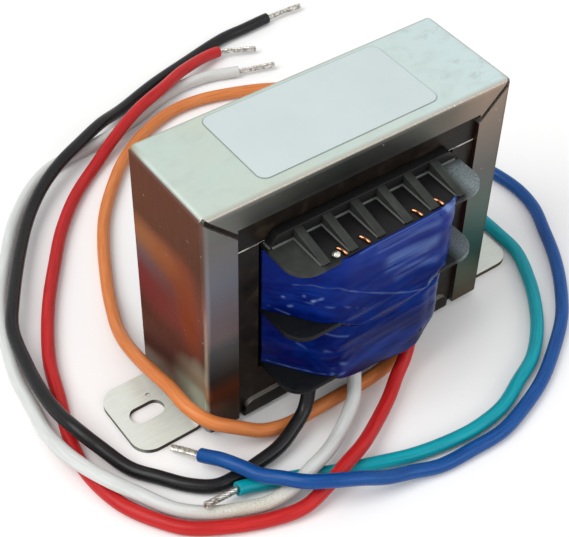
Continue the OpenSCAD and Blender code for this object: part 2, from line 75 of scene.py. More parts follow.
# From the flange to the bare tip, in millimetres; the last step is the stripped end
LEAD_ROUTES = {
    "black": [
        (-14.5, -17.5, 12.9), (-14.5, -17.5, 10.4), (-15, -18, 8), (-17, -19.5, 5), (-20.5, -21, 3.5),
        (-25, -22.5, 2.5), (-30, -23, 2), (-35, -23, 1.5), (-39.5, -22.5, 1.5), (-43.5, -19.5, 1.5),
        (-47, -15, 1.5), (-50.5, -10, 1.5), (-53, -4, 3), (-55, 1.5, 4.5), (-56, 7.5, 4.5), (-56, 14, 4.5),
        (-55, 21.5, 4), (-53, 31, 4), (-49, 38.5, 4), (-41.5, 50, 3.5), (-34.5, 59, 3.5), (-27.5, 65.5, 4),
        (-20.5, 70, 4.5), (-13.5, 73.5, 4.5), (-5.5, 77.5, 4), (2.5, 81.5, 2), (14, 86, 1.5), (25.5, 89, 1.5),
        (38, 92, 1.5), (46, 92.5, 1.5), (53.5, 93, 1.5), (64, 93, 1.5),
    ],
    "white": [
        (-4, -17.5, 12.9), (-4, -17.5, 10.3), (-4, -18, 8), (-5, -19.5, 5.5), (-7, -22, 4), (-10.5, -24.5, 3),
        (-14.5, -27, 3), (-19, -29.5, 4), (-23.5, -31, 4.5), (-28.5, -32, 3.5), (-33.5, -31.5, 2),
        (-38.5, -29.5, 1.5), (-43.5, -27, 1.5), (-48.5, -22.5, 1.5), (-52.5, -17, 3), (-56, -12, 4.5),
        (-58.5, -6.5, 5), (-59.5, -0.5, 4), (-59.5, 6, 2.5), (-58.5, 13, 1.5), (-57.5, 21.5, 1.5),
        (-55, 30.5, 1.5), (-52, 38.5, 1.5), (-49, 44.5, 1.5), (-43, 53.5, 1.5), (-37, 61.5, 1.5),
        (-29, 69, 1.5), (-21.5, 73, 1.5), (-13, 74, 1.5), (-5, 75, 1.5), (4, 77, 1.5), (12.5, 80, 1.5),
        (19.5, 81.5, 1.5), (27, 81, 1.5), (34.5, 78.5, 1.5), (43.5, 75.5, 1.5),
    ],
    "red": [
        (9.5, -18, 12.9), (9.5, -18, 10.4), (9, -19, 8), (7, -20.5, 5.5), (3.5, -22.5, 4), (-1, -25.5, 3),
        (-7, -29, 3), (-12.5, -32, 4), (-18, -34, 4.5), (-23.5, -35.5, 3.5), (-29, -36, 2), (-35, -34.5, 1.5),
        (-42, -31.5, 1.5), (-48.5, -27.5, 1.5), (-52.5, -22.5, 1.5), (-55.5, -17, 1.5), (-57, -11.5, 1.5),
        (-57.5, -6, 1.5), (-57, -1, 1.5), (-55.5, 5, 1.5), (-53, 12.5, 1.5), (-50.5, 20.5, 1.5),
        (-47, 28, 1.5), (-42, 36.5, 1.5), (-36, 45, 1.5), (-29.5, 53.5, 1.5), (-21.5, 61.5, 1.5),
        (-12.5, 68, 1.5), (-4, 72.5, 3.5), (4, 76, 5), (13, 79.5, 5), (22.5, 84, 4), (34.5, 87.5, 2),
        (43.5, 84, 1.5),
    ],
    "orange": [
        (12.5, -16, 12.9), (12.5, -16, 10.3), (12, -16.5, 7.5), (10.5, -17, 5), (7.5, -17.5, 2.5),
        (3.5, -18, 1.5), (-2, -18.5, 1.5), (-8, -18.5, 1.5), (-14, -18.5, 1.5), (-20, -18.5, 1.5),
        (-25.5, -18, 3), (-30.5, -16.5, 6), (-35, -14, 8.5), (-37, -9.5, 9.5), (-37, -3, 9), (-37, 5, 7),
        (-36.5, 13, 5), (-35, 20, 3), (-32.5, 27, 2), (-29.5, 34, 1.5), (-24.5, 44, 1.5), (-19.5, 52, 1.5),
        (-13, 59.5, 1.5), (-6, 66, 1.5), (3, 71.5, 1.5), (12, 74.5, 1.5), (20, 74.5, 1.5), (27.5, 72.5, 1.5),
        (36, 69, 1.5), (43.5, 64, 1.5), (49, 57, 1.5), (51.5, 48.5, 1.5), (50.5, 39.5, 1.5),
    ],
    "blue": [
        (8, 17.5, 12.9), (8, 17.5, 10.3), (8.5, 18.5, 7.5), (10, 21, 4.5), (13.5, 24.5, 2.5), (18.5, 28, 1.5),
        (25, 31, 1.5), (33, 33, 1.5), (41, 33, 1.5), (48.5, 30.5, 1.5), (55.5, 25, 1.5), (60.5, 17.5, 1.5),
        (62.5, 8, 1.5), (61.5, 0, 1.5), (58, -7.5, 1.5), (54, -15, 1.5), (49, -22, 1.5), (43, -28.5, 1.5),
        (35.5, -34, 1.5), (28, -38.5, 1.5), (20.5, -41.5, 1.5), (13, -43.5, 1.5), (5.5, -43.5, 1.5),
        (-2, -43, 1.5), (-8, -41.5, 2.5), (-13.5, -40.5, 4), (-18.5, -39, 6), (-23.5, -37, 7),
        (-27.5, -34.5, 7), (-30.5, -31, 6.5), (-33, -27.5, 5.5), (-34.5, -24, 5), (-36.5, -20, 4.5),
        (-38.5, -16, 3), (-41, -10, 1),
    ],
    "green": [
        (-8, 17.5, 12.9), (-8, 17.5, 10.3), (-8.5, 19, 7.5), (-9, 21.5, 4.5), (-9.5, 25.5, 2),
        (-8, 31.5, 1.5), (-4, 37, 1.5), (2, 42, 1.5), (10, 44.5, 1.5), (18, 44.5, 1.5), (26, 42.5, 3),
        (32.5, 38.5, 4.5), (38, 33, 4.5), (43, 26, 3.5), (46.5, 18.5, 2), (48.5, 11, 1.5), (49, 4, 1.5),
        (49, -2, 1.5), (48.5, -8.5, 1.5), (45.5, -15.5, 1.5), (41.5, -22, 1.5), (36.5, -28, 1.5),
        (30.5, -33, 1.5), (24, -36, 1.5), (17, -39, 1.5), (9.5, -40, 1.5), (2.5, -39.5, 1.5), (-5, -38, 1.5),
        (-12, -35.5, 1.5), (-18.5, -33, 1.5), (-25, -30, 1.5), (-31, -27.5, 1.5), (-37, -26, 2.5),
        (-44.5, -27, 4.5),
    ],
}


def unit(vectors):
    """The same directions at length 1."""
    return vectors / np.linalg.norm(vectors, axis=-1, keepdims=True)


def evenly(fine, count_for):
    """A fine line resampled in equal steps: the points and how far along the line each lies."""
    along = np.concatenate([[0], np.cumsum(np.linalg.norm(np.diff(fine, axis=0), axis=1))])
    at = np.linspace(0, along[-1], count_for(along[-1]) + 1)
    return np.stack([np.interp(at, along, fine[:, k]) for k in range(fine.shape[1])], 1), at


def smooth_line(points, spacing):
    """Points along one smooth curve through the route, all about one spacing apart, in metres."""
    p = np.array(points, float) * MM
    p = np.vstack([p[:1], p, p[-1:]])
    fine = []
    t = np.linspace(0, 1, 24, endpoint=False)[:, None]
    for a, b, c, d in zip(p, p[1:], p[2:], p[3:]):
        bowed = (2 * a - 5 * b + 4 * c - d) * t**2 + (3 * b - a - 3 * c + d) * t**3
        fine.append(0.5 * (2 * b + (c - a) * t + bowed))
    return evenly(np.vstack([*fine, p[-1:]]), lambda length: max(2, int(round(length / spacing))))


def carried_frames(line):
    """Headings and two side directions at each point, carried along without twist."""
    heading = unit(np.gradient(line, axis=0))
    side = np.zeros_like(line)
    last = np.array([1.0, 0, 0])
    for i, h in enumerate(heading):
        last = unit(last - h * (last @ h))
        side[i] = last
    return heading, side, np.cross(heading, side)


def bend_at(line, spacing):
    """How sharply the line bends at each point, and towards where."""
    turn = np.gradient(unit(np.gradient(line, axis=0)), axis=0) / spacing
    kernel = np.hanning(9) / np.hanning(9).sum()
    return np.stack([np.convolve(turn[:, k], kernel, mode="same") for k in range(3)], 1)


def spokes(side, other, sides):
    """Directions all round one point of a line, each with its angle."""
    for k in range(sides):
        angle = 2 * math.pi * k / sides
        yield angle, math.cos(angle) * side + math.sin(angle) * other


def mesh_object(name, vertices, faces, smooth=True):
    mesh = bpy.data.meshes.new(name)
    mesh.from_pydata([tuple(v) for v in vertices], [], [tuple(f) for f in faces])
    mesh.validate()
    mesh.polygons.foreach_set("use_smooth", [smooth] * len(mesh.polygons))
    return linked(name, mesh)


def lofted(name, rings):
    """A smooth tube through rings of points, closed at both ends."""
    n = len(rings[0])
    faces = []
    for low in range(0, n * (len(rings) - 1), n):
        faces += [(low + k, low + (k + 1) % n, low + n + (k + 1) % n, low + n + k) for k in range(n)]
    faces += [range(n - 1, -1, -1), range(n * (len(rings) - 1), n * len(rings))]
    return mesh_object(name, [point for ring in rings for point in ring], faces)


def insulated_tube(name, line, at, wrinkle):
    """The jacket: a round tube that wrinkles a little on the inside of its bends, cut square at its far end."""
    heading, side, other = carried_frames(line)
    turn = bend_at(line, at[1])
    r = LEAD_DIAMETER / 2
    rings = []
    for i, along in enumerate(at / MM):
        rings.append([])
        ripple = math.sin(along * 5.2 + 1.3 * math.sin(along))
        for angle, out in spokes(side[i], other[i], LEAD_SIDES):
            squeeze = max(0.0, float(out @ turn[i]) - 35) / 100
            spot = Vector((3.2 * math.cos(angle) + 7.3, 3.2 * math.sin(angle) + 1.1, along * 0.16))
            grow = 1 + min(0.02, 0.012 * squeeze) * ripple + wrinkle * noise.noise(spot)
            rings[-1].append(line[i] + out * r * grow)
    for share, step in CUT_END:
        tip = line[-1] + heading[-1] * step * MM
        rings.append([tip + out * r * share for _, out in spokes(side[-1], other[-1], LEAD_SIDES)])
    made = lofted(name, rings)
    for polygon in (made.data.polygons[-1], made.data.polygons[-2]):
        polygon.use_smooth = False
    made.data.attributes.new("along", "FLOAT", "POINT")
    made.data.attributes.new("around", "FLOAT_VECTOR", "POINT")
    along, around = (made.data.attributes[key].data for key in ("along", "around"))
    for i in range(len(along)):
        length = at[min(i // LEAD_SIDES, len(line) - 1)] / MM
        angle = 2 * math.pi * (i % LEAD_SIDES) / LEAD_SIDES
        along[i].value = length
        around[i].vector = (1.4 * math.cos(angle), 1.4 * math.sin(angle), length)
    return made


def new_node(tree, kind, **values):
    """A new node. Lower-case names set the node, capital ones its inputs (_ for a space), in_1 its second."""
    node = tree.nodes.new(kind)
    for key, value in values.items():
        if key.startswith("in_"):
            node.inputs[int(key[3:])].default_value = value
        elif key[0].isupper():
            node.inputs[key.replace("_", " ")].default_value = value
        else:
            setattr(node, key, value)
    return node


def new_tree(name, sockets, parts, links, result):
    """A geometry tree of inputs and parts, linked as "part.socket", that realises and finishes its result."""
    tree = bpy.data.node_groups.new(name, "GeometryNodeTree")
    for label, (kind, value) in sockets.items():
        socket = tree.interface.new_socket(label, in_out="INPUT", socket_type="NodeSocket" + kind)
        if value is not None:
            socket.default_value = value
    tree.interface.new_socket("Finish", in_out="INPUT", socket_type="NodeSocketMaterial")
    tree.interface.new_socket("Geometry", in_out="OUTPUT", socket_type="NodeSocketGeometry")
    made = {part: new_node(tree, kind, **values) for part, (kind, values) in parts.items()}
    made["in"], made["out"] = tree.nodes.new("NodeGroupInput"), tree.nodes.new("NodeGroupOutput")
    made["realize"] = tree.nodes.new("GeometryNodeRealizeInstances")
    made["finish"] = tree.nodes.new("GeometryNodeSetMaterial")
    for source, sink in links + [
        (result, "realize.Geometry"),
        ("realize.Geometry", "finish.Geometry"),
        ("in.Finish", "finish.Material"),
        ("finish.Geometry", "out.Geometry"),
    ]:
        (giver, given), (taker, taken) = source.split("."), sink.split(".")
        taken = int(taken) if taken.isdigit() else taken
        tree.links.new(made[giver].outputs[given], made[taker].inputs[taken])
    return tree


def run_tree(name, tree, values):
    """The tree's result as a plain mesh object; the carrier with its modifier is removed."""
    carrier = linked(name + "_carrier", bpy.data.meshes.new(name + "_carrier"))
    modifier = carrier.modifiers.new("made", "NODES")
    modifier.node_group = tree
    for item in tree.interface.items_tree:
        if item.in_out == "INPUT" and item.name in values:
            modifier[item.identifier] = values[item.name]
    evaluated = carrier.evaluated_get(bpy.context.evaluated_depsgraph_get())
    mesh = bpy.data.meshes.new_from_object(evaluated)
    bpy.data.objects.remove(carrier)
    mesh.name = name
    return linked(name, mesh)


# The stripped ends: strands laid round a core, each a spiral, held together by solder.
strip_tree = new_tree(
    "stripped_end",
    {
        "Length": ("Float", 0.008),
        "Lay radius": ("Float", 0.00044),
        "Splay radius": ("Float", 0.0005),
        "Strand radius": ("Float", 0.0002),
        "Turns": ("Float", 1.2),
        "Strands": ("Int", 8),
    },
    {
        "spiral": ("GeometryNodeCurveSpiral", {"Resolution": 40}),
        "points": ("GeometryNodePoints", {}),
        "copies": ("GeometryNodeInstanceOnPoints", {}),
        "number": ("GeometryNodeInputIndex", {}),
        "share": ("ShaderNodeMath", {"operation": "DIVIDE"}),
        "full_turn": ("ShaderNodeMath", {"operation": "MULTIPLY", "in_1": 2 * math.pi}),
        "spin": ("ShaderNodeCombineXYZ", {}),
        "rotation": ("FunctionNodeEulerToRotation", {}),
        "free": ("GeometryNodeRealizeInstances", {}),
        "profile": ("GeometryNodeCurvePrimitiveCircle", {"Resolution": 8}),
        "sweep": ("GeometryNodeCurveToMesh", {"Fill_Caps": True}),
        "core_line": ("GeometryNodeCurvePrimitiveLine", {}),
        "core_end": ("ShaderNodeCombineXYZ", {}),
        "core_profile": ("GeometryNodeCurvePrimitiveCircle", {"Resolution": 12}),
        "core_sweep": ("GeometryNodeCurveToMesh", {"Fill_Caps": True}),
        "both": ("GeometryNodeJoinGeometry", {}),
        "shade": ("GeometryNodeSetShadeSmooth", {}),
    },
    [
        ("in.Length", "spiral.Height"),
        ("in.Lay radius", "spiral.Start Radius"),
        ("in.Splay radius", "spiral.End Radius"),
        ("in.Turns", "spiral.Rotations"),
        ("in.Strands", "points.Count"),
        ("points.Points", "copies.Points"),
        ("spiral.Curve", "copies.Instance"),
        ("number.Index", "share.0"),
        ("in.Strands", "share.1"),
        ("share.Value", "full_turn.0"),
        ("full_turn.Value", "spin.Z"),
        ("spin.Vector", "rotation.Euler"),
        ("rotation.Rotation", "copies.Rotation"),
        ("copies.Instances", "free.Geometry"),
        ("free.Geometry", "sweep.Curve"),
        ("in.Strand radius", "profile.Radius"),
        ("profile.Curve", "sweep.Profile Curve"),
        ("in.Length", "core_end.Z"),
        ("core_end.Vector", "core_line.End"),
        ("core_line.Curve", "core_sweep.Curve"),
        ("in.Lay radius", "core_profile.Radius"),
        ("core_profile.Curve", "core_sweep.Profile Curve"),
        ("sweep.Mesh", "both.Geometry"),
        ("core_sweep.Mesh", "both.Geometry"),
        ("both.Geometry", "shade.Geometry"),
    ],
    "shade.Geometry",
)


def new_material(name, **uniform):
    """A node material whose shader's own sockets hold what is the same all over."""
    material = bpy.data.materials.new(name)
    material.use_nodes = True
    shader = material.node_tree.nodes["Principled BSDF"]
    for socket, value in uniform.items():
        shader.inputs[socket.replace("_", " ")].default_value = value
    return material, material.node_tree, shader


def painted(tree, shader, **sources):
    """Feed the shader's sockets, named with _ for a space, from other nodes' outputs."""
    for socket, source in sources.items():
        tree.links.new(source, shader.inputs[socket.replace("_", " ")])


def place_in(tree):
    """A point's place on the object."""
    return tree.nodes.new("ShaderNodeTexCoord").outputs["Object"]


def looks_in(tree):
    """The way a point's face looks."""
    return tree.nodes.new("ShaderNodeNewGeometry").outputs["Normal"]


def axes_of(tree, vector):
    """A vector's own X, Y and Z."""
    split = tree.nodes.new("ShaderNodeSeparateXYZ")
    tree.links.new(vector, split.inputs[0])
    return split.outputs


def ramp(tree, source, *stops):
    """A colour ramp fed by source, with (position, (r, g, b)) stops."""
    made = tree.nodes.new("ShaderNodeValToRGB")
    while len(made.color_ramp.elements) < len(stops):
        made.color_ramp.elements.new(0.5)
    for element, (at, colour) in zip(made.color_ramp.elements, stops):
        element.position = at
        element.color = (*colour, 1)
    tree.links.new(source, made.inputs["Fac"])
    return made.outputs["Color"]


def speckle(tree, vector, scale, detail=3, stretch=(1, 1, 1), shift=(0, 0, 0), rough=0.5):
    """Cloudy noise on a vector in metres or millimetres, stretched along its axes."""
    mapping = new_node(tree, "ShaderNodeMapping", Scale=stretch, Location=shift)
    tree.links.new(vector, mapping.inputs["Vector"])
    cloud = new_node(tree, "ShaderNodeTexNoise", Scale=scale, Detail=detail, Roughness=rough)
    tree.links.new(mapping.outputs["Vector"], cloud.inputs["Vector"])
    return cloud.outputs["Fac"]


def blended(tree, amount, first, second):
    """Two colours mixed; first and second are sockets or plain colours."""
    mix = new_node(tree, "ShaderNodeMix", data_type="RGBA")
    tree.links.new(amount, mix.inputs[0])
    for socket, value in ((mix.inputs[6], first), (mix.inputs[7], second)):
        if isinstance(value, tuple):
            socket.default_value = (*value, 1)
        else:
            tree.links.new(value, socket)
    return mix.outputs[2]


def remapped(tree, source, low, high, to_low=0.0, to_high=1.0):
    """source taken from one range to another, and held inside it."""
    node = new_node(tree, "ShaderNodeMapRange", in_1=low, in_2=high, in_3=to_low, in_4=to_high)
    tree.links.new(source, node.inputs[0])
    return node.outputs[0]


def combined(tree, operation, first, second):
    maths = new_node(tree, "ShaderNodeMath", operation=operation)
    tree.links.new(first, maths.inputs[0])
    tree.links.new(second, maths.inputs[1])
    return maths.outputs[0]


def where(tree, *gates):
    """1 where every gate, given as (source, shut at, open at), is open and 0 where any is shut."""
    whole = remapped(tree, *gates[0])
    for gate in gates[1:]:
        whole = combined(tree, "MULTIPLY", whole, remapped(tree, *gate))
    return whole


def bumped(tree, shader, height, distance, strength):
    """The shader's normal, raised by height over distance in metres."""
    bump = new_node(tree, "ShaderNodeBump", Distance=distance, Strength=strength)
    tree.links.new(height, bump.inputs["Height"])
    painted(tree, shader, Normal=bump.outputs["Normal"])


# Jacket colours as they are dyed: main colour, deeper shade in the streaks, gloss, lengthwise wrinkle
JACKETS = {
    "black": ((0.008, 0.008, 0.009), (0.016, 0.016, 0.018), 0.24, 0.006),
    "white": ((0.66, 0.68, 0.67), (0.56, 0.58, 0.56), 0.36, 0.006),
    "red": ((0.54, 0.020, 0.020), (0.40, 0.010, 0.012), 0.32, 0.016),
    "orange": ((0.68, 0.235, 0.075), (0.58, 0.165, 0.040), 0.38, 0.008),
    "blue": ((0.005, 0.080, 0.30), (0.003, 0.048, 0.21), 0.28, 0.008),
    "green": ((0.002, 0.34, 0.40), (0.002, 0.25, 0.32), 0.32, 0.008),
}


def jacket_material(colour):
    main, deep, gloss, _ = JACKETS[colour]
    material, tree, shader = new_material(colour + "_jacket", Specular_IOR_Level=0.22)
    around = new_node(tree, "ShaderNodeAttribute", attribute_name="around").outputs["Vector"]
    streaks = speckle(tree, around, 1.3, 4, (1.6, 1.6, 0.12))
    specks = speckle(tree, around, 5.0, 3, (1, 1, 1), (3, 1, 4))
    tone = blended(tree, remapped(tree, streaks, 0.35, 0.7), main, deep)
    if colour == "white":
        # handled where it leaves the chassis: a patch of grime 32 to 59 mm along it
        along = new_node(tree, "ShaderNodeAttribute", attribute_name="along").outputs["Fac"]
        grime_and_shadow = where(tree, (along, 31.85, 41.65), (along, 58.8, 49), (specks, 0.4, 0.62))
        tone = blended(tree, grime_and_shadow, tone, (0.50, 0.44, 0.30))
    rough = remapped(tree, specks, 0.3, 0.75, gloss - 0.06, gloss + 0.12)
    painted(tree, shader, Base_Color=tone, Roughness=rough)
    bumped(tree, shader, speckle(tree, around, 2.4, 4, (1.5, 1.5, 0.25), (0, 5, 0)), 0.00006, 0.6)
    return material


tin, tree, shader = new_material("tinned_strand", Metallic=1.0)
place = place_in(tree)
flux = speckle(tree, place, 1500, 4)
tinned = ramp(tree, flux, (0.32, (0.20, 0.17, 0.13)), (0.5, (0.55, 0.53, 0.49)), (0.7, (0.78, 0.77, 0.74)))
painted(tree, shader, Base_Color=tinned, Roughness=remapped(tree, flux, 0.3, 0.7, 0.42, 0.22))
bumped(tree, shader, speckle(tree, place, 2600, 3), 0.00005, 0.7)

# How far each stripped end is bent to one side, in millimetres
STRIP_SAG = {"black": 0.35, "white": -0.25, "red": 0.3, "orange": 0.2, "blue": -0.3, "green": 0.25}
# How far the strands start inside the jacket, their turns in each millimetre, and how unevenly they lie
STRIP_TUCK, STRIP_LAY, STRIP_WOBBLE = 0.4 * MM, 0.17, 0.05


def coated(node, material):
    """Give a CAD node its finish."""
    nodes[node].data.materials.clear()
    nodes[node].data.materials.append(material)


def instead_of(piece, node):
    """The piece takes its CAD node's place."""
    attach(piece, "root")
    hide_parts(node)


for colour, route in LEAD_ROUTES.items():
    line, at = smooth_line(route, RING_SPACING)
    end_at, tip = np.array(route[-2:]) * MM
    strip_length = np.linalg.norm(tip - end_at)
    cut = int(np.argmin(np.linalg.norm(line - end_at, axis=1)))
    jacket_line = line[: cut + 1].copy()
    jacket_line[-1] = end_at
    jacket = insulated_tube(colour + "_lead_jacket", jacket_line, at[: cut + 1], JACKETS[colour][3])
    jacket.data.materials.append(jacket_material(colour))

    # the strands, made upright and then laid along the end's own direction
    strands = run_tree(
        colour + "_lead_strands",
        strip_tree,
        {"Length": strip_length + STRIP_TUCK, "Turns": STRIP_LAY * strip_length / MM, "Finish": tin},
    )
    co = np.zeros(len(strands.data.vertices) * 3)
    strands.data.vertices.foreach_get("co", co)
    co = co.reshape(-1, 3)
    direction = unit(tip - end_at)
    across = unit(np.cross(direction, (0, 0, 1)))
    raised = np.cross(across, direction)
    out = co[:, 2:] - STRIP_TUCK
    lean = STRIP_SAG[colour] * MM * np.clip(out / strip_length, 0, 1) ** 2
    wobble = STRIP_WOBBLE * np.array([noise.noise(Vector(c) * 900) for c in co])[:, None]
    laid = end_at + direction * out + across * (co[:, :1] * (1 + wobble) + lean)
    laid += raised * (co[:, 1:2] + wobble * MM)
    strands.data.vertices.foreach_set("co", laid.ravel())
    strands.data.update()
    instead_of(strands, colour + "_lead_end")
    instead_of(jacket, colour + "_lead")

# Chassis bracket. One strip of zinc-plated steel folded over the core into a roof, two sides and two slotted
# feet, with mitred corners; the plating took a brown to yellow chromate tint. Roof and feet stay pale, and the
# walls' darker colours are partly a painted reflection.
zinc, tree, shader = new_material("zinc_steel", Specular_IOR_Level=0.2, Specular_Tint=(0.45, 0.34, 0.30, 1))
place = place_in(tree)
at, facing = axes_of(tree, place), axes_of(tree, looks_in(tree))

# The sides are dark brown, partly a painted dark reflection. On the left one painted reflections of the orange
# and red leads lie as orange, red and rose patches, it runs pale green-grey low by the front bend, and a
# painted highlight runs up the bend with painted shade above it: soft ellipses of (y, z) centre and (y, z)
# reach in millimetres, tilt in degrees, colour and strength.
SIDE_SPOTS = (
    # painted reflections of the red and orange leads
    ((8.0, 33.0), (9.5, 6.5), 6, (0.30, 0.22, 0.24), 0.6),
    ((5.0, 26.5), (13.0, 7.5), -6, (0.40, 0.085, 0.085), 0.6),
    ((10.5, 27.0), (6.0, 6.0), 0, (0.44, 0.085, 0.095), 0.5),
    ((7.0, 38.5), (12.0, 5.4), -2, (0.62, 0.26, 0.11), 0.6),
    ((-0.5, 38.5), (8.5, 6.4), -8, (0.56, 0.19, 0.085), 0.65),
    ((-6.0, 34.0), (6.0, 12.0), 0, (0.46, 0.13, 0.06), 0.7),
    ((-7.0, 26.5), (5.0, 9.0), 0, (0.36, 0.09, 0.045), 0.6),
    # pale green-grey low by the front bend
    ((-8.0, 12.0), (9.5, 7.5), -40, (0.44, 0.50, 0.41), 1.0),
    ((-9.5, 11.0), (4.4, 11.0), 0, (0.48, 0.54, 0.45), 0.9),
    # a painted highlight up the front bend, then painted shade on it higher up
    ((-11.6, 20.0), (0.6, 17.0), 0, (0.70, 0.60, 0.44), 0.7),
    ((-11.3, 48.0), (0.9, 13.0), 0, (0.10, 0.06, 0.045), 0.6),
)
side_height = remapped(tree, at["Z"], 0.0016, 0.0575)
# the sides' tone up their height: chromate tint together with a painted dark reflection
side_tone = ramp(
    tree,
    side_height,
    (0.0, (0.281, 0.295, 0.264)),
    (0.12, (0.159, 0.109, 0.101)),
    (0.30, (0.151, 0.074, 0.065)),
    (0.55, (0.281, 0.133, 0.118)),
    (0.76, (0.177, 0.09, 0.068)),
    (1.0, (0.159, 0.082, 0.065)),
)
for (y, z), (reach_y, reach_z), tilt, tint, strength in SIDE_SPOTS:
    mapping = new_node(
        tree,
        "ShaderNodeMapping",
        vector_type="TEXTURE",
        Location=(-34 * MM, y * MM, z * MM),
        Rotation=(math.radians(tilt), 0, 0),
        Scale=(8 * MM, reach_y * MM, reach_z * MM),
    )
    tree.links.new(place, mapping.inputs["Vector"])
    ball = new_node(tree, "ShaderNodeTexGradient", gradient_type="SPHERICAL")
    tree.links.new(mapping.outputs["Vector"], ball.inputs["Vector"])
    side_tone = blended(tree, remapped(tree, ball.outputs["Fac"], 0, 0.75, 0, strength), side_tone, tint)
rolled = speckle(tree, place, 200, 4, (10, 10, 0.7), (2, 0, 0))
side_tone = blended(tree, remapped(tree, rolled, 0.5, 0.8, 0, 0.10), side_tone, (0.432, 0.276, 0.206))

# the flanges in front and behind: purple-grey at the left, with a red-brown band low down that is a painted
# reflection of the orange lead in front; dark along the roof's lip, green-grey at the right
front_tone = ramp(
    tree,
    side_height,
    (0.0, (0.07, 0.06, 0.055)),
    (0.09, (0.095, 0.07, 0.055)),
    # a painted reflection of the orange lead
    (0.19, (0.19, 0.076, 0.046)),
    (0.26, (0.081, 0.069, 0.061)),
    (0.40, (0.146, 0.147, 0.149)),
    (0.46, (0.26, 0.215, 0.215)),
    (0.70, (0.20, 0.205, 0.235)),
    (0.86, (0.18, 0.17, 0.165)),
    (1.0, (0.145, 0.138, 0.127)),
)
lip_tone = ramp(
    tree,
    remapped(tree, at["X"], -0.034, 0.034),
    (0.0, (0.173, 0.173, 0.162)),
    (0.3, (0.081, 0.086, 0.077)),
    (0.45, (0.054, 0.059, 0.054)),
    (0.7, (0.118, 0.122, 0.109)),
    (1.0, (0.259, 0.208, 0.166)),
)
right_tone = ramp(
    tree,
    side_height,
    (0.0, (0.135, 0.118, 0.09)),
    (0.3, (0.094, 0.18, 0.151)),
    (0.65, (0.147, 0.151, 0.146)),
    (1.0, (0.324, 0.25, 0.199)),
)
front_tone = blended(tree, where(tree, (at["Z"], 0.050, 0.053)), front_tone, lip_tone)
front_tone = blended(tree, where(tree, (at["X"], 0.020, 0.028)), front_tone, right_tone)
squarely = new_node(tree, "ShaderNodeMath", operation="ABSOLUTE")
tree.links.new(facing["Y"], squarely.inputs[0])
wall_tone = blended(tree, where(tree, (squarely.outputs[0], 0.6, 0.9)), side_tone, front_tone)

# the roof: faint spangle, handling marks at the right end, a dull front edge, a painted shadow line round the
# label's edge, and rust at the back left corner
cloud = speckle(tree, place, 60, 4, (1, 1, 1), (0.2, 0.1, 0))
roof_tone = blended(tree, remapped(tree, cloud, 0.42, 0.62), (0.583, 0.684, 0.626), (0.6, 0.667, 0.585))
roof_tone = blended(tree, where(tree, (at["X"], -0.01, 0.03)), roof_tone, (0.632, 0.765, 0.765))
spangle = speckle(tree, place, 190, 5, (1, 1.6, 1), (7, 7, 1), 0.6)
roof_tone = blended(tree, remapped(tree, spangle, 0.48, 0.70, 0, 0.30), roof_tone, (0.46, 0.53, 0.50))
marks = speckle(tree, place, 330, 5, (1, 1, 1), (3, 8, 2), 0.65)
handled = where(tree, (marks, 0.56, 0.68), (at["X"], 0.016, 0.032))
roof_tone = blended(tree, remapped(tree, handled, 0, 1, 0, 0.45), roof_tone, (0.40, 0.41, 0.38))
roof_tone = blended(tree, where(tree, (at["Y"], -0.0108, -0.0118)), roof_tone, (0.42, 0.40, 0.34))
past_label = place
for operation, operand in (
    ("SUBTRACT", (-0.5 * MM, 0.6 * MM, 0)),
    ("ABSOLUTE", (0, 0, 0)),
    ("SUBTRACT", (17.7 * MM, 7.85 * MM, 1)),
    ("MAXIMUM", (0, 0, 0)),
    ("LENGTH", (0, 0, 0)),
):
    maths = new_node(tree, "ShaderNodeVectorMath", operation=operation, in_1=operand)
    tree.links.new(past_label, maths.inputs[0])
    past_label = maths.outputs["Value" if operation == "LENGTH" else "Vector"]
# a painted shadow line round the label's edge
grime_and_shadow = remapped(tree, past_label, 0.00215, 0.0018, 0, 0.75)
roof_tone = blended(tree, grime_and_shadow, roof_tone, (0.144, 0.151, 0.144))
rusty = where(tree, (at["X"], -0.0325, -0.034), (at["Y"], 0.006, 0.011))
roof_tone = blended(tree, rusty, roof_tone, (0.216, 0.137, 0.036))

brush = speckle(tree, place, 240, 4, (1, 16, 16), (1, 0, 0))
foot_tone = blended(tree, remapped(tree, brush, 0.35, 0.65), (0.749, 0.796, 0.749), (0.673, 0.72, 0.655))
flat_tone = blended(tree, where(tree, (at["Z"], 0.01, 0.02)), foot_tone, roof_tone)
# upright faces take the wall tones, partly painted reflection, and flat faces the roof and foot tones
tone = blended(tree, where(tree, (facing["Z"], 0.5, 0.85)), wall_tone, flat_tone)
# the sheared end of each side flange shows bare metal in the mitre, with a painted highlight on the cut edge
bare_and_highlit_end = where(
    tree,
    (at["Y"], -0.0108, -0.0110),
    (at["Z"], 0.047, 0.048),
    (facing["Z"], 0.4, 0.6),
    (facing["Z"], 0.96, 0.9),
    (facing["Y"], -0.3, -0.1),
)
tone = blended(tree, bare_and_highlit_end, tone, (0.80, 0.76, 0.68))
flecks = speckle(tree, place, 900, 2, (1, 1, 1), (0, 4, 2))
tone = blended(tree, remapped(tree, flecks, 0.745, 0.78, 0, 0.5), tone, (0.75, 0.75, 0.72))
on_foot = where(tree, (facing["Z"], 0.3, 0.8), (at["Z"], 0.012, 0.006))
stipple = speckle(tree, place, 2600, 2)
painted(
    tree,
    shader,
    Base_Color=tone,
    Metallic=remapped(tree, on_foot, 0, 1, 0.92, 0.2),
    Roughness=remapped(tree, stipple, 0.3, 0.7, 0.28, 0.38),
)
bumped(tree, shader, stipple, 0.000012, 0.4)
coated("channel_bracket", zinc)

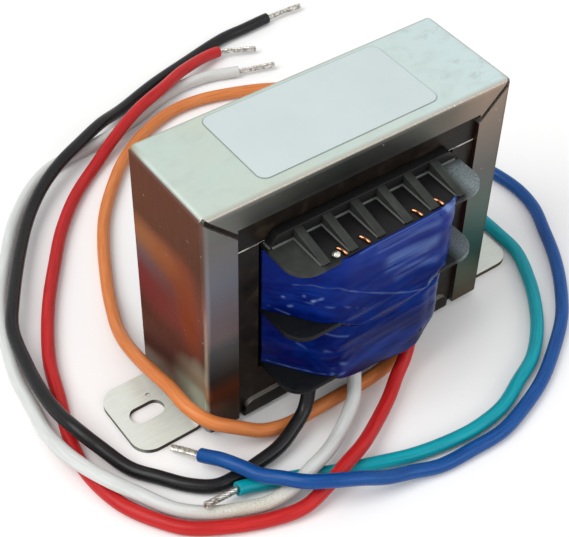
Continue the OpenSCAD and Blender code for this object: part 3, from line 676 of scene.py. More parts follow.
# Keeper. A plain strip of steel with its two edges turned up clamps the core from below. It is dull and dark,
# and paler only where it faces up.
dull, tree, shader = new_material("dark_steel", Metallic=0.8, Specular_IOR_Level=0.2)
place = place_in(tree)
facing = axes_of(tree, looks_in(tree))
cloud = speckle(tree, place, 160, 5)
plate = ramp(
    tree,
    cloud,
    (0.3, (0.012, 0.009, 0.006)),
    (0.5, (0.024, 0.019, 0.015)),
    (0.72, (0.05, 0.04, 0.03)),
)
tone = blended(tree, where(tree, (facing["Z"], 0.3, 0.8)), plate, (0.55, 0.52, 0.46))
painted(tree, shader, Base_Color=tone, Roughness=remapped(tree, cloud, 0.3, 0.7, 0.5, 0.38))
bumped(tree, shader, speckle(tree, place, 900, 3), 0.00002, 0.5)
coated("bottom_keeper", dull)

# Core. Two stacks of silicon-steel stampings, E-shaped below and I-shaped across its legs, dipped in dark
# varnish; the line where they butt shows bright.
JOINT_HEIGHT = 45.5
SHEETS, SHEET_THICKNESS = 44, 0.47 * MM
varnish, tree, shader = new_material("varnished_core", Specular_IOR_Level=0.15)
place = place_in(tree)
at = axes_of(tree, place)
cloud = speckle(tree, place, 260, 4)
tone = ramp(
    tree,
    cloud,
    (0.3, (0.006, 0.005, 0.004)),
    (0.55, (0.012, 0.008, 0.006)),
    (0.75, (0.035, 0.024, 0.016)),
)
seam = new_node(tree, "ShaderNodeMath", operation="COMPARE", in_1=JOINT_HEIGHT * MM, in_2=0.00016)
tree.links.new(at["Z"], seam.inputs[0])
worn = remapped(tree, speckle(tree, place, 420, 3, (1, 1, 1), (0, 7, 0)), 0.38, 0.5)
tone = blended(tree, combined(tree, "MULTIPLY", seam.outputs[0], worn), tone, (0.62, 0.60, 0.55))
painted(tree, shader, Base_Color=tone, Roughness=remapped(tree, cloud, 0.3, 0.7, 0.3, 0.5))
bumped(tree, shader, speckle(tree, place, 1100, 3, (1, 0.2, 1)), 0.00003, 0.5)

sheet_tree = new_tree(
    "stamping_stack",
    {
        "Stamping": ("Object", None),
        "Pitch": ("Float", 0.0005),
        "Count": ("Int", SHEETS),
        "Slip": ("Float", 0.00003),
    },
    {
        "stamping": ("GeometryNodeObjectInfo", {}),
        "row": ("GeometryNodeMeshLine", {}),
        "step": ("ShaderNodeCombineXYZ", {}),
        "half_row": ("ShaderNodeMath", {"operation": "MULTIPLY_ADD", "in_1": -0.5, "in_2": 0.5}),
        "back": ("ShaderNodeMath", {"operation": "MULTIPLY"}),
        "first": ("ShaderNodeCombineXYZ", {}),
        "minus": ("ShaderNodeMath", {"operation": "MULTIPLY", "in_1": -1}),
        "slip_low": ("ShaderNodeCombineXYZ", {}),
        "slip_high": ("ShaderNodeCombineXYZ", {}),
        "slip": ("FunctionNodeRandomValue", {"data_type": "FLOAT_VECTOR", "Seed": 4}),
        "nudge": ("GeometryNodeSetPosition", {}),
        "stack": ("GeometryNodeInstanceOnPoints", {}),
    },
    [
        ("in.Stamping", "stamping.Object"),
        ("in.Count", "row.Count"),
        ("in.Pitch", "step.Y"),
        ("step.Vector", "row.Offset"),
        ("in.Count", "half_row.0"),
        ("half_row.Value", "back.0"),
        ("in.Pitch", "back.1"),
        ("back.Value", "first.Y"),
        ("first.Vector", "row.Start Location"),
        ("in.Slip", "minus.0"),
        ("minus.Value", "slip_low.X"),
        ("minus.Value", "slip_low.Z"),
        ("in.Slip", "slip_high.X"),
        ("slip_low.Vector", "slip.Min"),
        ("slip_high.Vector", "slip.Max"),
        ("row.Mesh", "nudge.Geometry"),
        ("slip.Value", "nudge.Offset"),
        ("nudge.Geometry", "stack.Points"),
        ("stamping.Geometry", "stack.Instance"),
    ],
    "stack.Instances",
)
# The two stampings' outlines in the x, z plane, in millimetres
STAMPINGS = {
    "e_laminations": [
        (-33, 1.5), (33, 1.5), (33, 45.45), (22, 45.45), (22, 12.5), (11, 12.5),
        (11, 45.45), (-11, 45.45), (-11, 12.5), (-22, 12.5), (-22, 45.45), (-33, 45.45),
    ],
    "i_laminations": [(-33, 45.55), (33, 45.55), (33, 56.45), (-33, 56.45)],
}


def pushed_out(form, faces, step):
    """Thicken flat faces into a closed solid."""
    grown = bmesh.ops.extrude_face_region(form, geom=faces)["geom"]
    bmesh.ops.translate(form, verts=[g for g in grown if isinstance(g, bmesh.types.BMVert)], vec=step)
    bmesh.ops.recalc_face_normals(form, faces=form.faces)


def baked(name, form, smooth):
    """The form as an object in the scene."""
    mesh = bpy.data.meshes.new(name)
    form.to_mesh(mesh)
    form.free()
    mesh.polygons.foreach_set("use_smooth", [smooth] * len(mesh.polygons))
    return linked(name, mesh)


for name, outline in STAMPINGS.items():
    form = bmesh.new()
    corners = [form.verts.new((x * MM, -SHEET_THICKNESS / 2, z * MM)) for x, z in outline]
    pushed_out(form, [form.faces.new(corners)], (0, SHEET_THICKNESS, 0))
    one_sheet = baked(name + "_one", form, False)
    values = {"Stamping": one_sheet, "Finish": varnish}
    stack = run_tree(name.replace("laminations", "stack"), sheet_tree, values)
    bpy.data.objects.remove(one_sheet)
    instead_of(stack, name)

# Bobbin. One moulding of black glass-filled nylon: a square tube with three flanges, and a wall along the top
# with six ribs that part the copper tails. Small radii soften its edges and fill the feet of wall and ribs.
nylon, tree, shader = new_material("black_nylon", Specular_IOR_Level=0.2)
place = place_in(tree)
at, facing = axes_of(tree, place), axes_of(tree, looks_in(tree))
grain = speckle(tree, place, 1400, 4)
cloud = speckle(tree, place, 220, 3)
tone = ramp(
    tree,
    cloud,
    (0.3, (0.022, 0.024, 0.022)),
    (0.55, (0.034, 0.037, 0.034)),
    (0.75, (0.050, 0.055, 0.051)),
)
# painted shade darkens the bays' floor and the lower flanges under the tape, and the wall is darker; a speckled
# painted reflection lightens the right ears, and a painted highlight lies on the fillets at the feet of wall
# and ribs
bay_shade = where(tree, (at["Z"], 0.0456, 0.0452), (at["X"], -0.0165, -0.0152), (at["X"], 0.0165, 0.0152))
tone = blended(tree, bay_shade, tone, (0.006, 0.006, 0.006))
tone = blended(tree, where(tree, (at["Y"], -0.0134, -0.0129)), tone, (0.008, 0.008, 0.0078))
# painted shade on the lower flanges under the tape
tone = blended(tree, where(tree, (at["Z"], 0.036, 0.032)), tone, (0.004, 0.005, 0.006))
# a speckled painted reflection on the right ears
reflection_speckle = remapped(tree, speckle(tree, place, 2400, 4, (1, 1, 1), (1, 2, 3), 0.7), 0.35, 0.68)
ear_reflection = blended(tree, reflection_speckle, (0.10, 0.118, 0.125), (0.215, 0.26, 0.275))
tone = blended(tree, where(tree, (at["X"], 0.0155, 0.0185), (at["Y"], -0.0132, -0.015)), tone, ear_reflection)
# a painted highlight on the fillets at the feet of wall and ribs
fillet_highlight = where(
    tree,
    (at["Z"], 0.0455, 0.0454),
    (at["Z"], 0.04511, 0.04514),
    (facing["Z"], 0.2, 0.3),
    (facing["Z"], 0.97, 0.9),
)
tone = blended(tree, fillet_highlight, tone, (0.10, 0.108, 0.10))
painted(tree, shader, Base_Color=tone, Roughness=remapped(tree, grain, 0.3, 0.7, 0.30, 0.5))
bumped(tree, shader, grain, 0.00003, 0.5)

# Sizes in millimetres. The coils' outline seen from above has a flat face and straight slanting shoulders.
FLANGE_X, FLANGE_Y, FLANGE_THICKNESS, FLANGE_RADIUS = 21.5, 22.0, 1.0, 4.5
FLANGE_BASES = {"low": 12.9, "middle": 27.712, "top": 44.1}
FLANGE_TOP = FLANGE_BASES["top"] + FLANGE_THICKNESS
# The lowest flange's front right corner: how far along its front the cut starts, and the ear left at its side
CORNER_CUT, EAR_DEPTH, EAR_STEP = 12.4, 3.0, 2.6
TUBE_X, TUBE_Y, BORE_X, BORE_Y = 12.1, 12.0, 11.1, 11.0
WALL_LOW, WALL_HIGH, WALL_BACK, WALL_FRONT, WALL_TOP = 21.3, 19.3, 11.02, 13.0, 47.6
RIB_XS = (-15.25, -9.15, -3.05, 3.05, 9.15, 15.25)
RIB_THICKNESS, RIB_TOE, RIB_HEEL, RIB_TOE_TOP, RIB_TOP = 1.7, 21.5, 12.95, 45.5, 47.48
# How far walls and ribs reach into the flange under them, and fillets into what they fill
SUNK, FILLET_SUNK = 0.5, 0.02
MOULD_RADIUS = 0.1
SHOULDER_X, SHOULDER_Y, FACE_X, FACE_Y = 20.6, 11.5, 13.2, 22.0
TURNED = {"x": lambda c: (c.z, c.x, c.y), "y": lambda c: (c.x, c.z, c.y), "z": lambda c: (c.x, c.y, c.z)}
moulding = bmesh.new()


def add_prism(outline, low, high, axis, radius=MOULD_RADIUS, hole=None):
    """A closed prism of the outline between low and high along an axis, its sharp edges rounded."""
    solid = bmesh.new()
    edges = []
    for ring in (outline, hole or []):
        verts = [solid.verts.new((u, v, low)) for u, v in ring]
        edges += [solid.edges.new((verts[k - 1], verts[k])) for k in range(len(verts))]
    filled = bmesh.ops.triangle_fill(solid, use_beauty=True, edges=edges)["geom"]
    if not hole:
        bmesh.ops.dissolve_faces(solid, faces=[g for g in filled if isinstance(g, bmesh.types.BMFace)])
    pushed_out(solid, list(solid.faces), (0, 0, high - low))
    if radius:
        sharp = [e for e in solid.edges if len(e.link_faces) == 2 and e.calc_face_angle() > math.radians(30)]
        bmesh.ops.bevel(
            solid, geom=sharp, offset=radius, segments=2, profile=0.5, affect="EDGES", clamp_overlap=True
        )
    for vertex in solid.verts:
        vertex.co = Vector(TURNED[axis](vertex.co)) * MM
    bmesh.ops.recalc_face_normals(solid, faces=solid.faces)
    part = bpy.data.meshes.new("part")
    solid.to_mesh(part)
    solid.free()
    moulding.from_mesh(part)
    bpy.data.meshes.remove(part)


def box_outline(x, y):
    return [(-x, -y), (x, -y), (x, y), (-x, y)]


def flange_outline(cut):
    """A flange's outline with rounded corners; cut takes the front right one off at a slant."""
    outline = []
    for sx, sy, start in ((1, 1, 0), (-1, 1, 90), (-1, -1, 180), (1, -1, 270)):
        if cut and (sx, sy) == (1, -1):
            outline += [(FLANGE_X - cut, -FLANGE_Y), (FLANGE_X - EAR_DEPTH, -SHOULDER_Y)]
            outline += [(FLANGE_X, -SHOULDER_Y + EAR_STEP)]
            continue
        x, y = sx * (FLANGE_X - FLANGE_RADIUS), sy * (FLANGE_Y - FLANGE_RADIUS)
        for a in np.radians(np.linspace(start, start + 90, 12)):
            outline.append((x + FLANGE_RADIUS * math.cos(a), y + FLANGE_RADIUS * math.sin(a)))
    return outline


bore = box_outline(BORE_X, BORE_Y)
for level, base in FLANGE_BASES.items():
    cut = CORNER_CUT if level == "low" else 0
    add_prism(flange_outline(cut), base, base + FLANGE_THICKNESS, "z", hole=bore)
add_prism(box_outline(TUBE_X, TUBE_Y), FLANGE_BASES["low"] + 0.2, FLANGE_TOP - 0.2, "z", 0, bore)
wall = [(-WALL_LOW, FLANGE_TOP - SUNK), (WALL_LOW, FLANGE_TOP - SUNK), (WALL_LOW, FLANGE_TOP)]
wall += [(WALL_HIGH, WALL_TOP), (-WALL_HIGH, WALL_TOP), (-WALL_LOW, FLANGE_TOP)]
for near, far in ((-WALL_FRONT, -WALL_BACK), (WALL_BACK, WALL_FRONT)):
    add_prism(wall, near, far, "y")
rib = [(-WALL_FRONT + SUNK, FLANGE_TOP - SUNK), (-WALL_FRONT + SUNK, RIB_TOP), (-RIB_HEEL, RIB_TOP)]
rib += [(-RIB_TOE, RIB_TOE_TOP), (-RIB_TOE, FLANGE_TOP - SUNK)]
for x in RIB_XS:
    add_prism(rib, x - RIB_THICKNESS / 2, x + RIB_THICKNESS / 2, "x")
    # the small fillets where the rib stands on the flange
    for side in (-1, 1):
        fillet = [(0, 0), (0.34, 0), (0.14, 0.08), (0.06, 0.2), (0, 0.4)]
        foot_x, foot_z = RIB_THICKNESS / 2 - FILLET_SUNK, FLANGE_TOP - FILLET_SUNK
        strip = [(x + side * (foot_x + u), foot_z + v) for u, v in fillet]
        add_prism(strip, -RIB_TOE + 0.3, -RIB_HEEL, "y", 0)
# and one along the wall's front foot, in y and z
fillet = [(-13.42, 45.08), (-12.9, 45.08), (-12.9, 45.5), (-13.05, 45.3), (-13.2, 45.16)]
add_prism(fillet, -WALL_LOW + 0.6, WALL_LOW - 0.6, "x", 0)
bobbin = baked("bobbin_moulding", moulding, True)
bobbin.data.set_sharp_from_angle(angle=math.radians(50))
bobbin.data.materials.append(nylon)
instead_of(bobbin, "bobbin")

# Windings. Enamelled copper magnet wire, one coil below the middle flange and one above, hidden under the tape
# except for their tails.
WIRE_RADIUS, WIRE_PITCH = 0.18, 0.36
COIL_INSET, COIL_RADIUS, LONGEST_ROUNDING = 1.1, 3, 4.5
enamel, tree, shader = new_material(
    "enamelled_copper", Metallic=1.0, Roughness=0.28, Coat_Weight=0.6, Coat_Roughness=0.12
)
place = place_in(tree)
copper = ramp(tree, speckle(tree, place, 700, 3), (0.3, (0.42, 0.15, 0.06)), (0.7, (0.68, 0.30, 0.14)))
painted(tree, shader, Base_Color=copper)


def rounded(before, here, after, reach, steps):
    """Points round one corner, which starts and ends at reach from it."""
    a, b = here + unit(before - here) * reach, here + unit(after - here) * reach
    return [(1 - t) ** 2 * a + 2 * t * (1 - t) * here + t**2 * b for t in np.linspace(0, 1, steps)]


def coil_outline():
    """One turn's closed plan outline, inside the tape, with its eight corners rounded."""
    front = [(-SHOULDER_X, -SHOULDER_Y), (-FACE_X, -FACE_Y), (FACE_X, -FACE_Y), (SHOULDER_X, -SHOULDER_Y)]
    c = np.array(front + [(-x, -y) for x, y in front], float)
    inner = []
    for k in range(8):
        u, v = unit(c[k] - c[k - 1]), unit(c[(k + 1) % 8] - c[k])
        n1, n2 = np.array([-u[1], u[0]]), np.array([-v[1], v[0]])
        inner.append(c[k] + COIL_INSET * (n1 + n2) / (1 + n1 @ n2))
    turn = []
    for k in range(8):
        before, here, after = inner[k - 1], inner[k], inner[(k + 1) % 8]
        half = math.acos(np.clip(unit(before - here) @ unit(after - here), -1, 1)) / 2
        turn += rounded(before, here, after, min(COIL_RADIUS / math.tan(half), LONGEST_ROUNDING), 4)
    return turn


coil_tree = new_tree(
    "coil",
    {
        "Turn": ("Object", None),
        "Turns": ("Int", 40),
        "Pitch": ("Float", WIRE_PITCH * MM),
        "Wire radius": ("Float", WIRE_RADIUS * MM),
        "Base": ("Float", 0.0146),
    },
    {
        "turn": ("GeometryNodeObjectInfo", {}),
        "row": ("GeometryNodeMeshLine", {}),
        "step": ("ShaderNodeCombineXYZ", {}),
        "start": ("ShaderNodeCombineXYZ", {}),
        "stack": ("GeometryNodeInstanceOnPoints", {}),
        "free": ("GeometryNodeRealizeInstances", {}),
        "curve": ("GeometryNodeMeshToCurve", {}),
        "profile": ("GeometryNodeCurvePrimitiveCircle", {"Resolution": 6}),
        "sweep": ("GeometryNodeCurveToMesh", {}),
        "shade": ("GeometryNodeSetShadeSmooth", {}),
    },
    [
        ("in.Turn", "turn.Object"),
        ("in.Turns", "row.Count"),
        ("in.Pitch", "step.Z"),
        ("step.Vector", "row.Offset"),
        ("in.Base", "start.Z"),
        ("start.Vector", "row.Start Location"),
        ("row.Mesh", "stack.Points"),
        ("turn.Geometry", "stack.Instance"),
        ("stack.Instances", "free.Geometry"),
        ("free.Geometry", "curve.Mesh"),
        ("curve.Curve", "sweep.Curve"),
        ("in.Wire radius", "profile.Radius"),
        ("profile.Curve", "sweep.Profile Curve"),
        ("sweep.Mesh", "shade.Geometry"),
    ],
    "shade.Geometry",
)
outline = coil_outline()
turn_mesh = bpy.data.meshes.new("turn")
sides = [(k, (k + 1) % len(outline)) for k in range(len(outline))]
turn_mesh.from_pydata([(x * MM, y * MM, 0) for x, y in outline], sides, [])
turn_line = linked("turn", turn_mesh)
for name, base, height in (("primary", 13.9, 13.8), ("secondary", 28.7, 15.4)):
    turns = int((height - 0.5) / WIRE_PITCH)
    first_turn = (base + 0.25 + WIRE_RADIUS) * MM
    values = {"Turn": turn_line, "Turns": turns, "Base": first_turn, "Finish": enamel}
    instead_of(run_tree(name + "_coil", coil_tree, values), name + "_winding")
bpy.data.objects.remove(turn_line)

# Tape. Two bands of blue film tape wound round the halves of the coil and pressed over the flanges' front
# edges by hand: thin, glossy and lapping over itself at a slant, with painted highlights along its creases,
# folds and streaks.
film, tree, shader = new_material("blue_tape", Specular_IOR_Level=0.08, Specular_Tint=(0.22, 0.42, 1.0, 1.0))
place = place_in(tree)
at = axes_of(tree, place)
cloud = speckle(tree, place, 120, 3, (1, 1, 2.2))
tone = ramp(
    tree,
    remapped(tree, at["Z"], 0.010, 0.046),
    (0.0, (0.005, 0.006, 0.050)),
    (0.25, (0.0010, 0.005, 0.075)),
    (0.55, (0.0008, 0.006, 0.095)),
    (1.0, (0.0015, 0.013, 0.165)),
)
tone = blended(tree, remapped(tree, cloud, 0.42, 0.72, 0, 0.6), tone, (0.005, 0.035, 0.26))
deep = speckle(tree, place, 110, 2, (1, 1, 2.5), (3, 0, 0))
tone = blended(tree, remapped(tree, deep, 0.60, 0.74, 0, 0.5), tone, (0.018, 0.006, 0.09))
# the painted highlights, carried on the bands' mesh
painted_highlight = new_node(tree, "ShaderNodeAttribute", attribute_name="painted_highlight")
tone = blended(tree, painted_highlight.outputs["Fac"], tone, (0.16, 0.25, 0.52))
painted(tree, shader, Base_Color=tone, Roughness=remapped(tree, cloud, 0.3, 0.7, 0.24, 0.15))
bumped(tree, shader, speckle(tree, place, 700, 3, (1, 1, 2.4)), 0.00003, 0.3)

# Millimetres. In plan the tape starts and ends against the core; each front corner has a rounding of its own.
TAPE_THICKNESS = 0.09
TAPE_PLAN = ((-21.35, -11.08), (-FACE_X, -FACE_Y), (FACE_X, -FACE_Y), (21.35, -11.08))
TAPE_CORNERS = (3.6, 2.4)
# How far the two bands lie outside that plan, the upper one lapping over the lower
LOWER_OUT, UPPER_OUT = 0.12, 0.27


def half_outline(offset, grid):
    """The coil's front half in plan, left to right in grid steps, with its normals and the length so far."""
    corners = np.array(TAPE_PLAN, float)
    fine = [corners[0]]
    for before, here, after, reach in zip(corners, corners[1:], corners[2:], TAPE_CORNERS):
        fine += rounded(before, here, after, reach, 20)
    line, at = evenly(np.array([*fine, corners[-1]]), lambda length: int(length / grid))
    heading = unit(np.gradient(line, axis=0))
    normal = np.stack([heading[:, 1], -heading[:, 0]], 1)
    return line + normal * offset, normal, at


def near_line(x, z, points, width):
    """1 on a polyline of (x, z) points, falling softly to 0 over the width."""
    best = np.full(x.shape, 1e9)
    for (xa, za), (xb, zb) in zip(points, points[1:]):
        ex, ez = xb - xa, zb - za
        t = np.clip(((x - xa) * ex + (z - za) * ez) / (ex * ex + ez * ez), 0, 1)
        best = np.minimum(best, np.hypot(x - xa - t * ex, z - za - t * ez))
    return np.exp(-((best / width) ** 2))


def patch(x, z, middle_x, middle_z, reach_x, reach_z):
    """1 at the middle of a soft oval, falling to 0 past its reach."""
    return np.exp(-(((x - middle_x) / reach_x) ** 2) - (((z - middle_z) / reach_z) ** 2))


def rise(value, width):
    """0 well below zero and 1 well above it, changing softly over the width."""
    return 1 / (1 + np.exp(-value / width))


def cloudy(x, z, scale_x, scale_z, seed):
    flat = [noise.noise(Vector((a * scale_x, b * scale_z, seed))) for a, b in zip(x.ravel(), z.ravel())]
    return np.array(flat).reshape(x.shape)


# The bands' edges as (x, z) in millimetres; x runs along the unrolled face from its middle
LOWER_BOTTOM = (
    (-27, 13.95), (-15.5, 13.95), (-13.8, 13.9), (-11, 12.4), (-8.6, 11.6), (-5.7, 11.0), (-2.3, 11.0),
    (1.6, 10.2), (5.6, 9.6), (8.0, 10.1), (10.2, 11.8), (12.4, 13.6), (15, 13.95), (27, 13.95),
)
LOWER_TOP = (
    (-27, 27.66), (-13, 27.66), (-11.5, 27.5), (-10, 26.9), (-8.1, 25.4), (-6.2, 24.9), (-5.3, 25.0),
    (-3.2, 24.8), (3, 26.5), (12, 27.3), (27, 27.5),
)
UPPER_BOTTOM = (
    (-27, 28.76), (-12.6, 28.76), (-11.9, 28.6), (-10, 27.3), (-8.1, 25.7), (-6.2, 25.1), (-5.3, 25.2),
    (-3.2, 24.6), (2, 24.6), (8.6, 25.3), (11.1, 26.6), (12.8, 28.3), (15, 28.76), (27, 28.76),
)
UPPER_TOP = (
    (-27, 44.05), (-15.0, 44.05), (-13.9, 45.0), (-10.3, 45.2), (-6.9, 45.5), (-2.6, 45.6), (1.8, 45.6),
    (6.4, 45.7), (9.9, 46.1), (12.1, 46.9), (13.6, 46.0), (15.2, 44.05), (27, 44.05),
)
# The outer lap's slanting edge over the turn below it
OUTER_EDGE = (
    (-27, 36.0), (-20.5, 37.2), (-16.9, 38.2), (-12.5, 38.0), (-8.3, 34.8), (-1.1, 30.2), (3.8, 27.4),
    (8.8, 25.6),
)
# Painted highlight lines along the film's creases, folds and streaks: how pale at least, how much more in
# broken or streaky places, width and (x, z) points
UPPER_STREAKS = (
    (0, 0.42, 1.5, ((-1.1, 39.1), (8.7, 38.1))),
    (0, 0.42, 1.2, ((0.8, 33.9), (6.7, 35.7))),
    (0, 0.30, 1.0, ((-4.1, 42.8), (2.1, 43.2), (9.0, 42.2))),
    (0, 0.30, 0.9, ((-1.8, 37.0), (9.8, 32.8))),
)
UPPER_CREASES = (
    (0.16, 0.2, 0.16, OUTER_EDGE[1:]),
    (0, 0.9, 0.32, ((-22.3, 33.5), (-18.6, 34.8))),
    (0, 0.9, 0.30, ((-16.8, 34.0), (-14.3, 35.9))),
    (0.5, 0, 0.3, ((-21.2, 31.3), (-20.7, 31.6))),
    (0, 0.55, 0.18, ((-25.0, 30.1), (-24.0, 29.9), (-21.1, 29.1))),
    (0, 0.3, 0.2, ((-18.2, 33.4), (-11.3, 32.7), (-6.6, 29.5))),
    (0, 0.8, 0.35, ((8.0, 26.1), (11.1, 27.2), (12.8, 29.2))),
)
LOWER_CREASES = (
    (0.30, 0, 0.22, ((-16.5, 25.9), (-14.2, 25.9), (-9.8, 23.8))),
    (0, 0.35, 0.3, ((-19.4, 21.8), (-17.8, 21.0))),
    (0, 0.30, 0.35, ((-14.0, 21.0), (-11.4, 20.7))),
    (0.12, 0.4, 0.15, ((-25.4, 14.7), (-20.7, 14.4), (-15.3, 14.6), (-13.8, 14.4))),
    (0, 0.45, 0.4, ((-12.1, 17.3), (-8.8, 15.3))),
    (0, 0.5, 0.45, ((-12.4, 14.2), (-9.5, 13.3))),
)


def marked(x, z, lines, uneven):
    """How bright the painted highlights along the lines make the film."""
    return sum((even + more * uneven) * near_line(x, z, points, width) for even, more, width, points in lines)


def tucked(x):
    """How far the tape is drawn in at the front right corner, where the bottom flange gives it no support."""
    return 0.8 * rise(x - 9.8, 0.8) * np.where(x < 17, 1, np.exp(-(((x - 17) / 3) ** 2)))


def pressed_on(x, z):
    """The waviness both bands take from the windings under them; low down they are tucked in at the right."""
    wavy = 0.16 * cloudy(x, z, 0.07, 0.30, 1.7) + 0.04 * cloudy(x, z, 0.16, 0.9, 4.4)
    return wavy - tucked(x) * rise(27.6 - z, 0.45)


def upper_relief(x, z):
    """How far the upper band stands out, and its painted highlights."""
    lap = 0.13 * np.where(x < 9, rise(z - np.interp(x, *zip(*OUTER_EDGE)), 0.1), 1)
    out = lap + pressed_on(x, z) + 0.28 * patch(x, z, -18.5, 34.0, 4.5, 2.2) * cloudy(x, z, 0.35, 1.4, 5.1)
    corner = patch(x, z, 11.0, 45.2, 2.2, 1.5)
    out += corner * (0.3 + 0.4 * cloudy(x, z, 0.9, 1.0, 8.2))
    out += 0.25 * patch(x, z, 12.5, 28.0, 2.5, 1.6) * cloudy(x, z, 0.8, 0.9, 3.3)
    # right of the slit its lower edge is pressed into the band below
    above_edge = z - np.interp(x, *zip(*UPPER_BOTTOM))
    out -= 0.2 * np.exp(-above_edge / 0.5) * rise(x + 3.2, 0.5)
    streaky = np.clip(0.6 + 1.3 * cloudy(x, z, 0.12, 1.3, 6.6), 0, 1)
    broken = np.clip(0.4 + 2.0 * cloudy(x, z, 0.6, 0.6, 2.2), 0, 1)
    # painted highlights along streaks and creases, and on the crumpled top right corner
    painted_highlight = marked(x, z, UPPER_STREAKS, streaky) + marked(x, z, UPPER_CREASES, broken) + 0.9 * corner * broken
    # two faint painted highlight lines where the film folds over the flange
    below_top = np.interp(x, *zip(*UPPER_TOP)) - z
    painted_highlight += 0.35 * (x > -9) * np.exp(-(((below_top - 0.5) / 0.18) ** 2))
    painted_highlight += 0.22 * (x > -5) * np.exp(-(((below_top - 1.2) / 0.16) ** 2))
    return out, painted_highlight


def lower_relief(x, z):
    """How far the lower band stands out, and its painted highlights."""
    out = pressed_on(x, z) + 0.25 * patch(x, z, -14.0, 17.0, 5.0, 3.5) * cloudy(x, z, 0.6, 0.8, 9.3)
    out -= 0.5 * tucked(x) * np.clip((15.0 - z) / 4, 0, 1)
    broken = np.clip(0.4 + 2.0 * cloudy(x, z, 0.6, 0.6, 7.2), 0, 1)
    return out, marked(x, z, LOWER_CREASES, broken)


def tape_band(name, bottom, top, offset, relief, grid, turn):
    """One band of tape as a thin closed sheet over the coil's front, or with turn -1 over its back."""
    line, normal, at = half_outline(offset, grid)
    face_x = at - at[-1] / 2
    low, high = (np.interp(face_x, *zip(*edge)) for edge in (bottom, top))
    rows = int(np.ceil((high - low).max() / grid))
    z = low[:, None] + (high - low)[:, None] * np.linspace(0, 1, rows + 1)[None, :]
    x = np.repeat(face_x[:, None], rows + 1, 1)
    out, painted_highlight = relief(x, z)
    sheets = []
    for raised in (out, out - TAPE_THICKNESS):
        plan_x, plan_y = (turn * (line[:, k, None] + normal[:, k, None] * raised) for k in (0, 1))
        sheets.append(np.stack([plan_x, plan_y, z], 2).reshape(-1, 3))
    n, m = x.shape
    faces, back = [], n * m
    for i in range(n - 1):
        for j in range(m - 1):
            a, b, c, d = i * m + j, (i + 1) * m + j, (i + 1) * m + j + 1, i * m + j + 1
            faces += [(a, b, c, d), (a + back, d + back, c + back, b + back)]
    rim = [i * m for i in range(n)] + [(n - 1) * m + j for j in range(1, m)]
    rim += [i * m + m - 1 for i in range(n - 2, -1, -1)] + list(range(m - 2, 0, -1))
    faces += [(b, a, a + back, b + back) for a, b in zip(rim, rim[1:] + rim[:1])]
    made = mesh_object(name, np.concatenate(sheets) * MM, faces)
    # the painted highlights, on the outer sheet only
    highlight_layer = made.data.attributes.new("painted_highlight", "FLOAT", "POINT")
    highlight_layer.data.foreach_set("value", np.concatenate([painted_highlight.ravel(), painted_highlight.ravel() * 0]).astype(np.float32))
    made.data.materials.append(film)
    return made


for side, grid, turn in (("front", 0.25, 1), ("back", 0.4, -1)):
    for level, bottom, top, out, relief in (
        ("upper", UPPER_BOTTOM, UPPER_TOP, UPPER_OUT, upper_relief),
        ("lower", LOWER_BOTTOM, LOWER_TOP, LOWER_OUT, lower_relief),
    ):
        band = tape_band("tape_%s_%s" % (level, side), bottom, top, out, relief, grid, turn)
        instead_of(band, "tape_wrap")

# Copper tails. Four ends of the magnet wire come up through the ribs' bays, bent over the top flange's edge.
# Each is a short hook of bare-looking wire; one is dipped in solder.
TAIL_RADIUS, TAIL_SPACING, TAIL_SIDES = 0.29 * MM, 0.18 * MM, 10
TAIL_TIP = 0.75
for number, x in enumerate((-11.06, -6.1, 5.72, 10.68), 1):
    route = [(x - 0.5, -19.3, 45.35), (x - 0.1, -20.2, 45.42), (x, -21.0, 45.5), (x + 0.1, -21.7, 45.4)]
    line, _ = smooth_line(route, TAIL_SPACING)
    _, side, other = carried_frames(line)
    rings = []
    for i, middle in enumerate(line):
        radius = TAIL_RADIUS * (TAIL_TIP if i in (0, len(line) - 1) else 1)
        rings.append([middle + out * radius for _, out in spokes(side[i], other[i], TAIL_SIDES)])
    tail = lofted("tail_hook_%d" % number, rings)
    tail.data.materials.append(enamel)
    instead_of(tail, "copper_tail_%d" % number)

# Solder bead. A small frozen lump by the first tail, left from dipping that wire. It is uneven, and dull with
# flux.
solder, tree, shader = new_material("solder", Metallic=1.0, Roughness=0.4)
place = place_in(tree)
dulled = ramp(tree, speckle(tree, place, 1200, 3), (0.3, (0.45, 0.43, 0.38)), (0.7, (0.78, 0.77, 0.74)))
painted(tree, shader, Base_Color=dulled)
BEAD_RADIUS, BEAD_SHAPE, BEAD_AT = 0.78 * MM, Vector((1.05, 0.85, 0.75)), Vector((-12.64, -20.8, 45.55)) * MM
form = bmesh.new()
bmesh.ops.create_icosphere(form, subdivisions=4, radius=BEAD_RADIUS)
for vertex in form.verts:
    lumpy = 1 + 0.22 * noise.noise(vertex.co * 1400)
    vertex.co = vertex.co * BEAD_SHAPE * lumpy + BEAD_AT
bead = baked("solder_lump", form, True)
bead.data.materials.append(solder)
instead_of(bead, "solder_bead")

# Label. A blank sticker of thin matt film with rounded corners, stuck flat on the roof. It is off-white and
# faintly uneven.
paper, tree, shader = new_material("label_film", Specular_IOR_Level=0.4)
place = place_in(tree)
grain = speckle(tree, place, 1600, 2)
uneven = remapped(tree, speckle(tree, place, 60, 3), 0.35, 0.65)
off_white = blended(tree, uneven, (0.50, 0.58, 0.58), (0.53, 0.61, 0.61))
painted(tree, shader, Base_Color=off_white, Roughness=remapped(tree, grain, 0.3, 0.7, 0.5, 0.6))
bumped(tree, shader, grain, 0.00002, 0.4)
coated("label", paper)

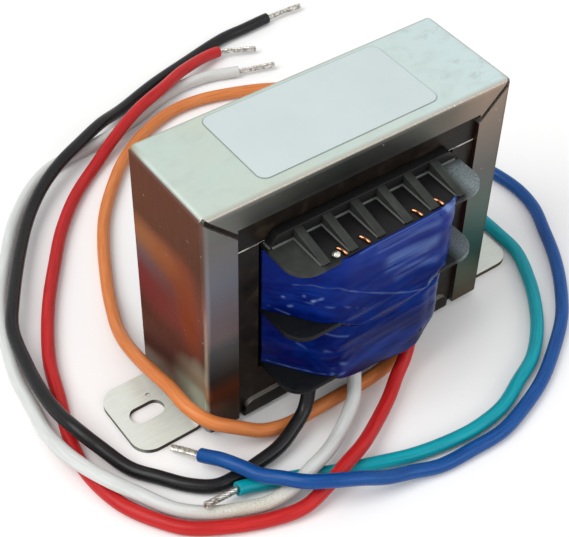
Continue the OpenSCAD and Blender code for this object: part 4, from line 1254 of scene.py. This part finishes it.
# Stage. A plain white bench top under soft studio light: a key lamp at the upper left, a weak fill in front,
# and a white room all round.
BENCH_REACH = 1.5
WHITE = (1, 1, 1, 1)
bench_finish, tree, shader = new_material(
    "bench", Roughness=0.9, Specular_IOR_Level=0.1, Base_Color=(0.9, 0.9, 0.9, 1), Emission_Color=WHITE
)
# looked at from low down, the far bench stays as white as its middle
distance = new_node(tree, "ShaderNodeVectorMath", operation="LENGTH")
tree.links.new(place_in(tree), distance.inputs[0])
glow = remapped(tree, distance.outputs["Value"], 0.12, 0.8, 0.04, 0.45)
looked_at = tree.nodes.new("ShaderNodeLightPath").outputs["Is Camera Ray"]
painted(tree, shader, Emission_Strength=combined(tree, "MULTIPLY", looked_at, glow))
corners = [(x * BENCH_REACH, y * BENCH_REACH, 0) for x, y in box_outline(1, 1)]
bench = mesh_object("bench", corners, [(0, 1, 2, 3)], False)
bench.data.materials.append(bench_finish)

world = bpy.data.worlds.new("studio")
bpy.context.scene.world = world
world.use_nodes = True
tree = world.node_tree
rays = tree.nodes.new("ShaderNodeLightPath").outputs
# plain white where it is looked at or mirrored, softer where it only lights
seen = combined(tree, "MAXIMUM", rays["Is Camera Ray"], rays["Is Glossy Ray"])
seen = combined(tree, "MAXIMUM", seen, rays["Is Transmission Ray"])
sky = tree.nodes["Background"]
sky.inputs["Color"].default_value = WHITE
painted(tree, sky, Strength=remapped(tree, seen, 0, 1, 0.68, 1.0))


def lamp(name, at, towards, size, power, tint):
    light = bpy.data.lights.new(name, "AREA")
    light.shape = "RECTANGLE"
    light.size, light.size_y = size
    light.energy, light.color = power, tint
    made = linked(name, light)
    made.location = at
    made.rotation_euler = (Vector(towards) - Vector(at)).to_track_quat("-Z", "Y").to_euler()


lamp("key", (-0.55, 0.05, 0.75), (0, 0, 0.02), (0.5, 0.7), 5.0, (1, 0.99, 0.97))
lamp("fill", (0.3, -0.7, 0.45), (0, 0, 0.03), (0.6, 0.4), 1.6, (0.96, 0.98, 1))

bpy.context.scene.view_settings.view_transform = "Standard"
bpy.context.view_layer.update()
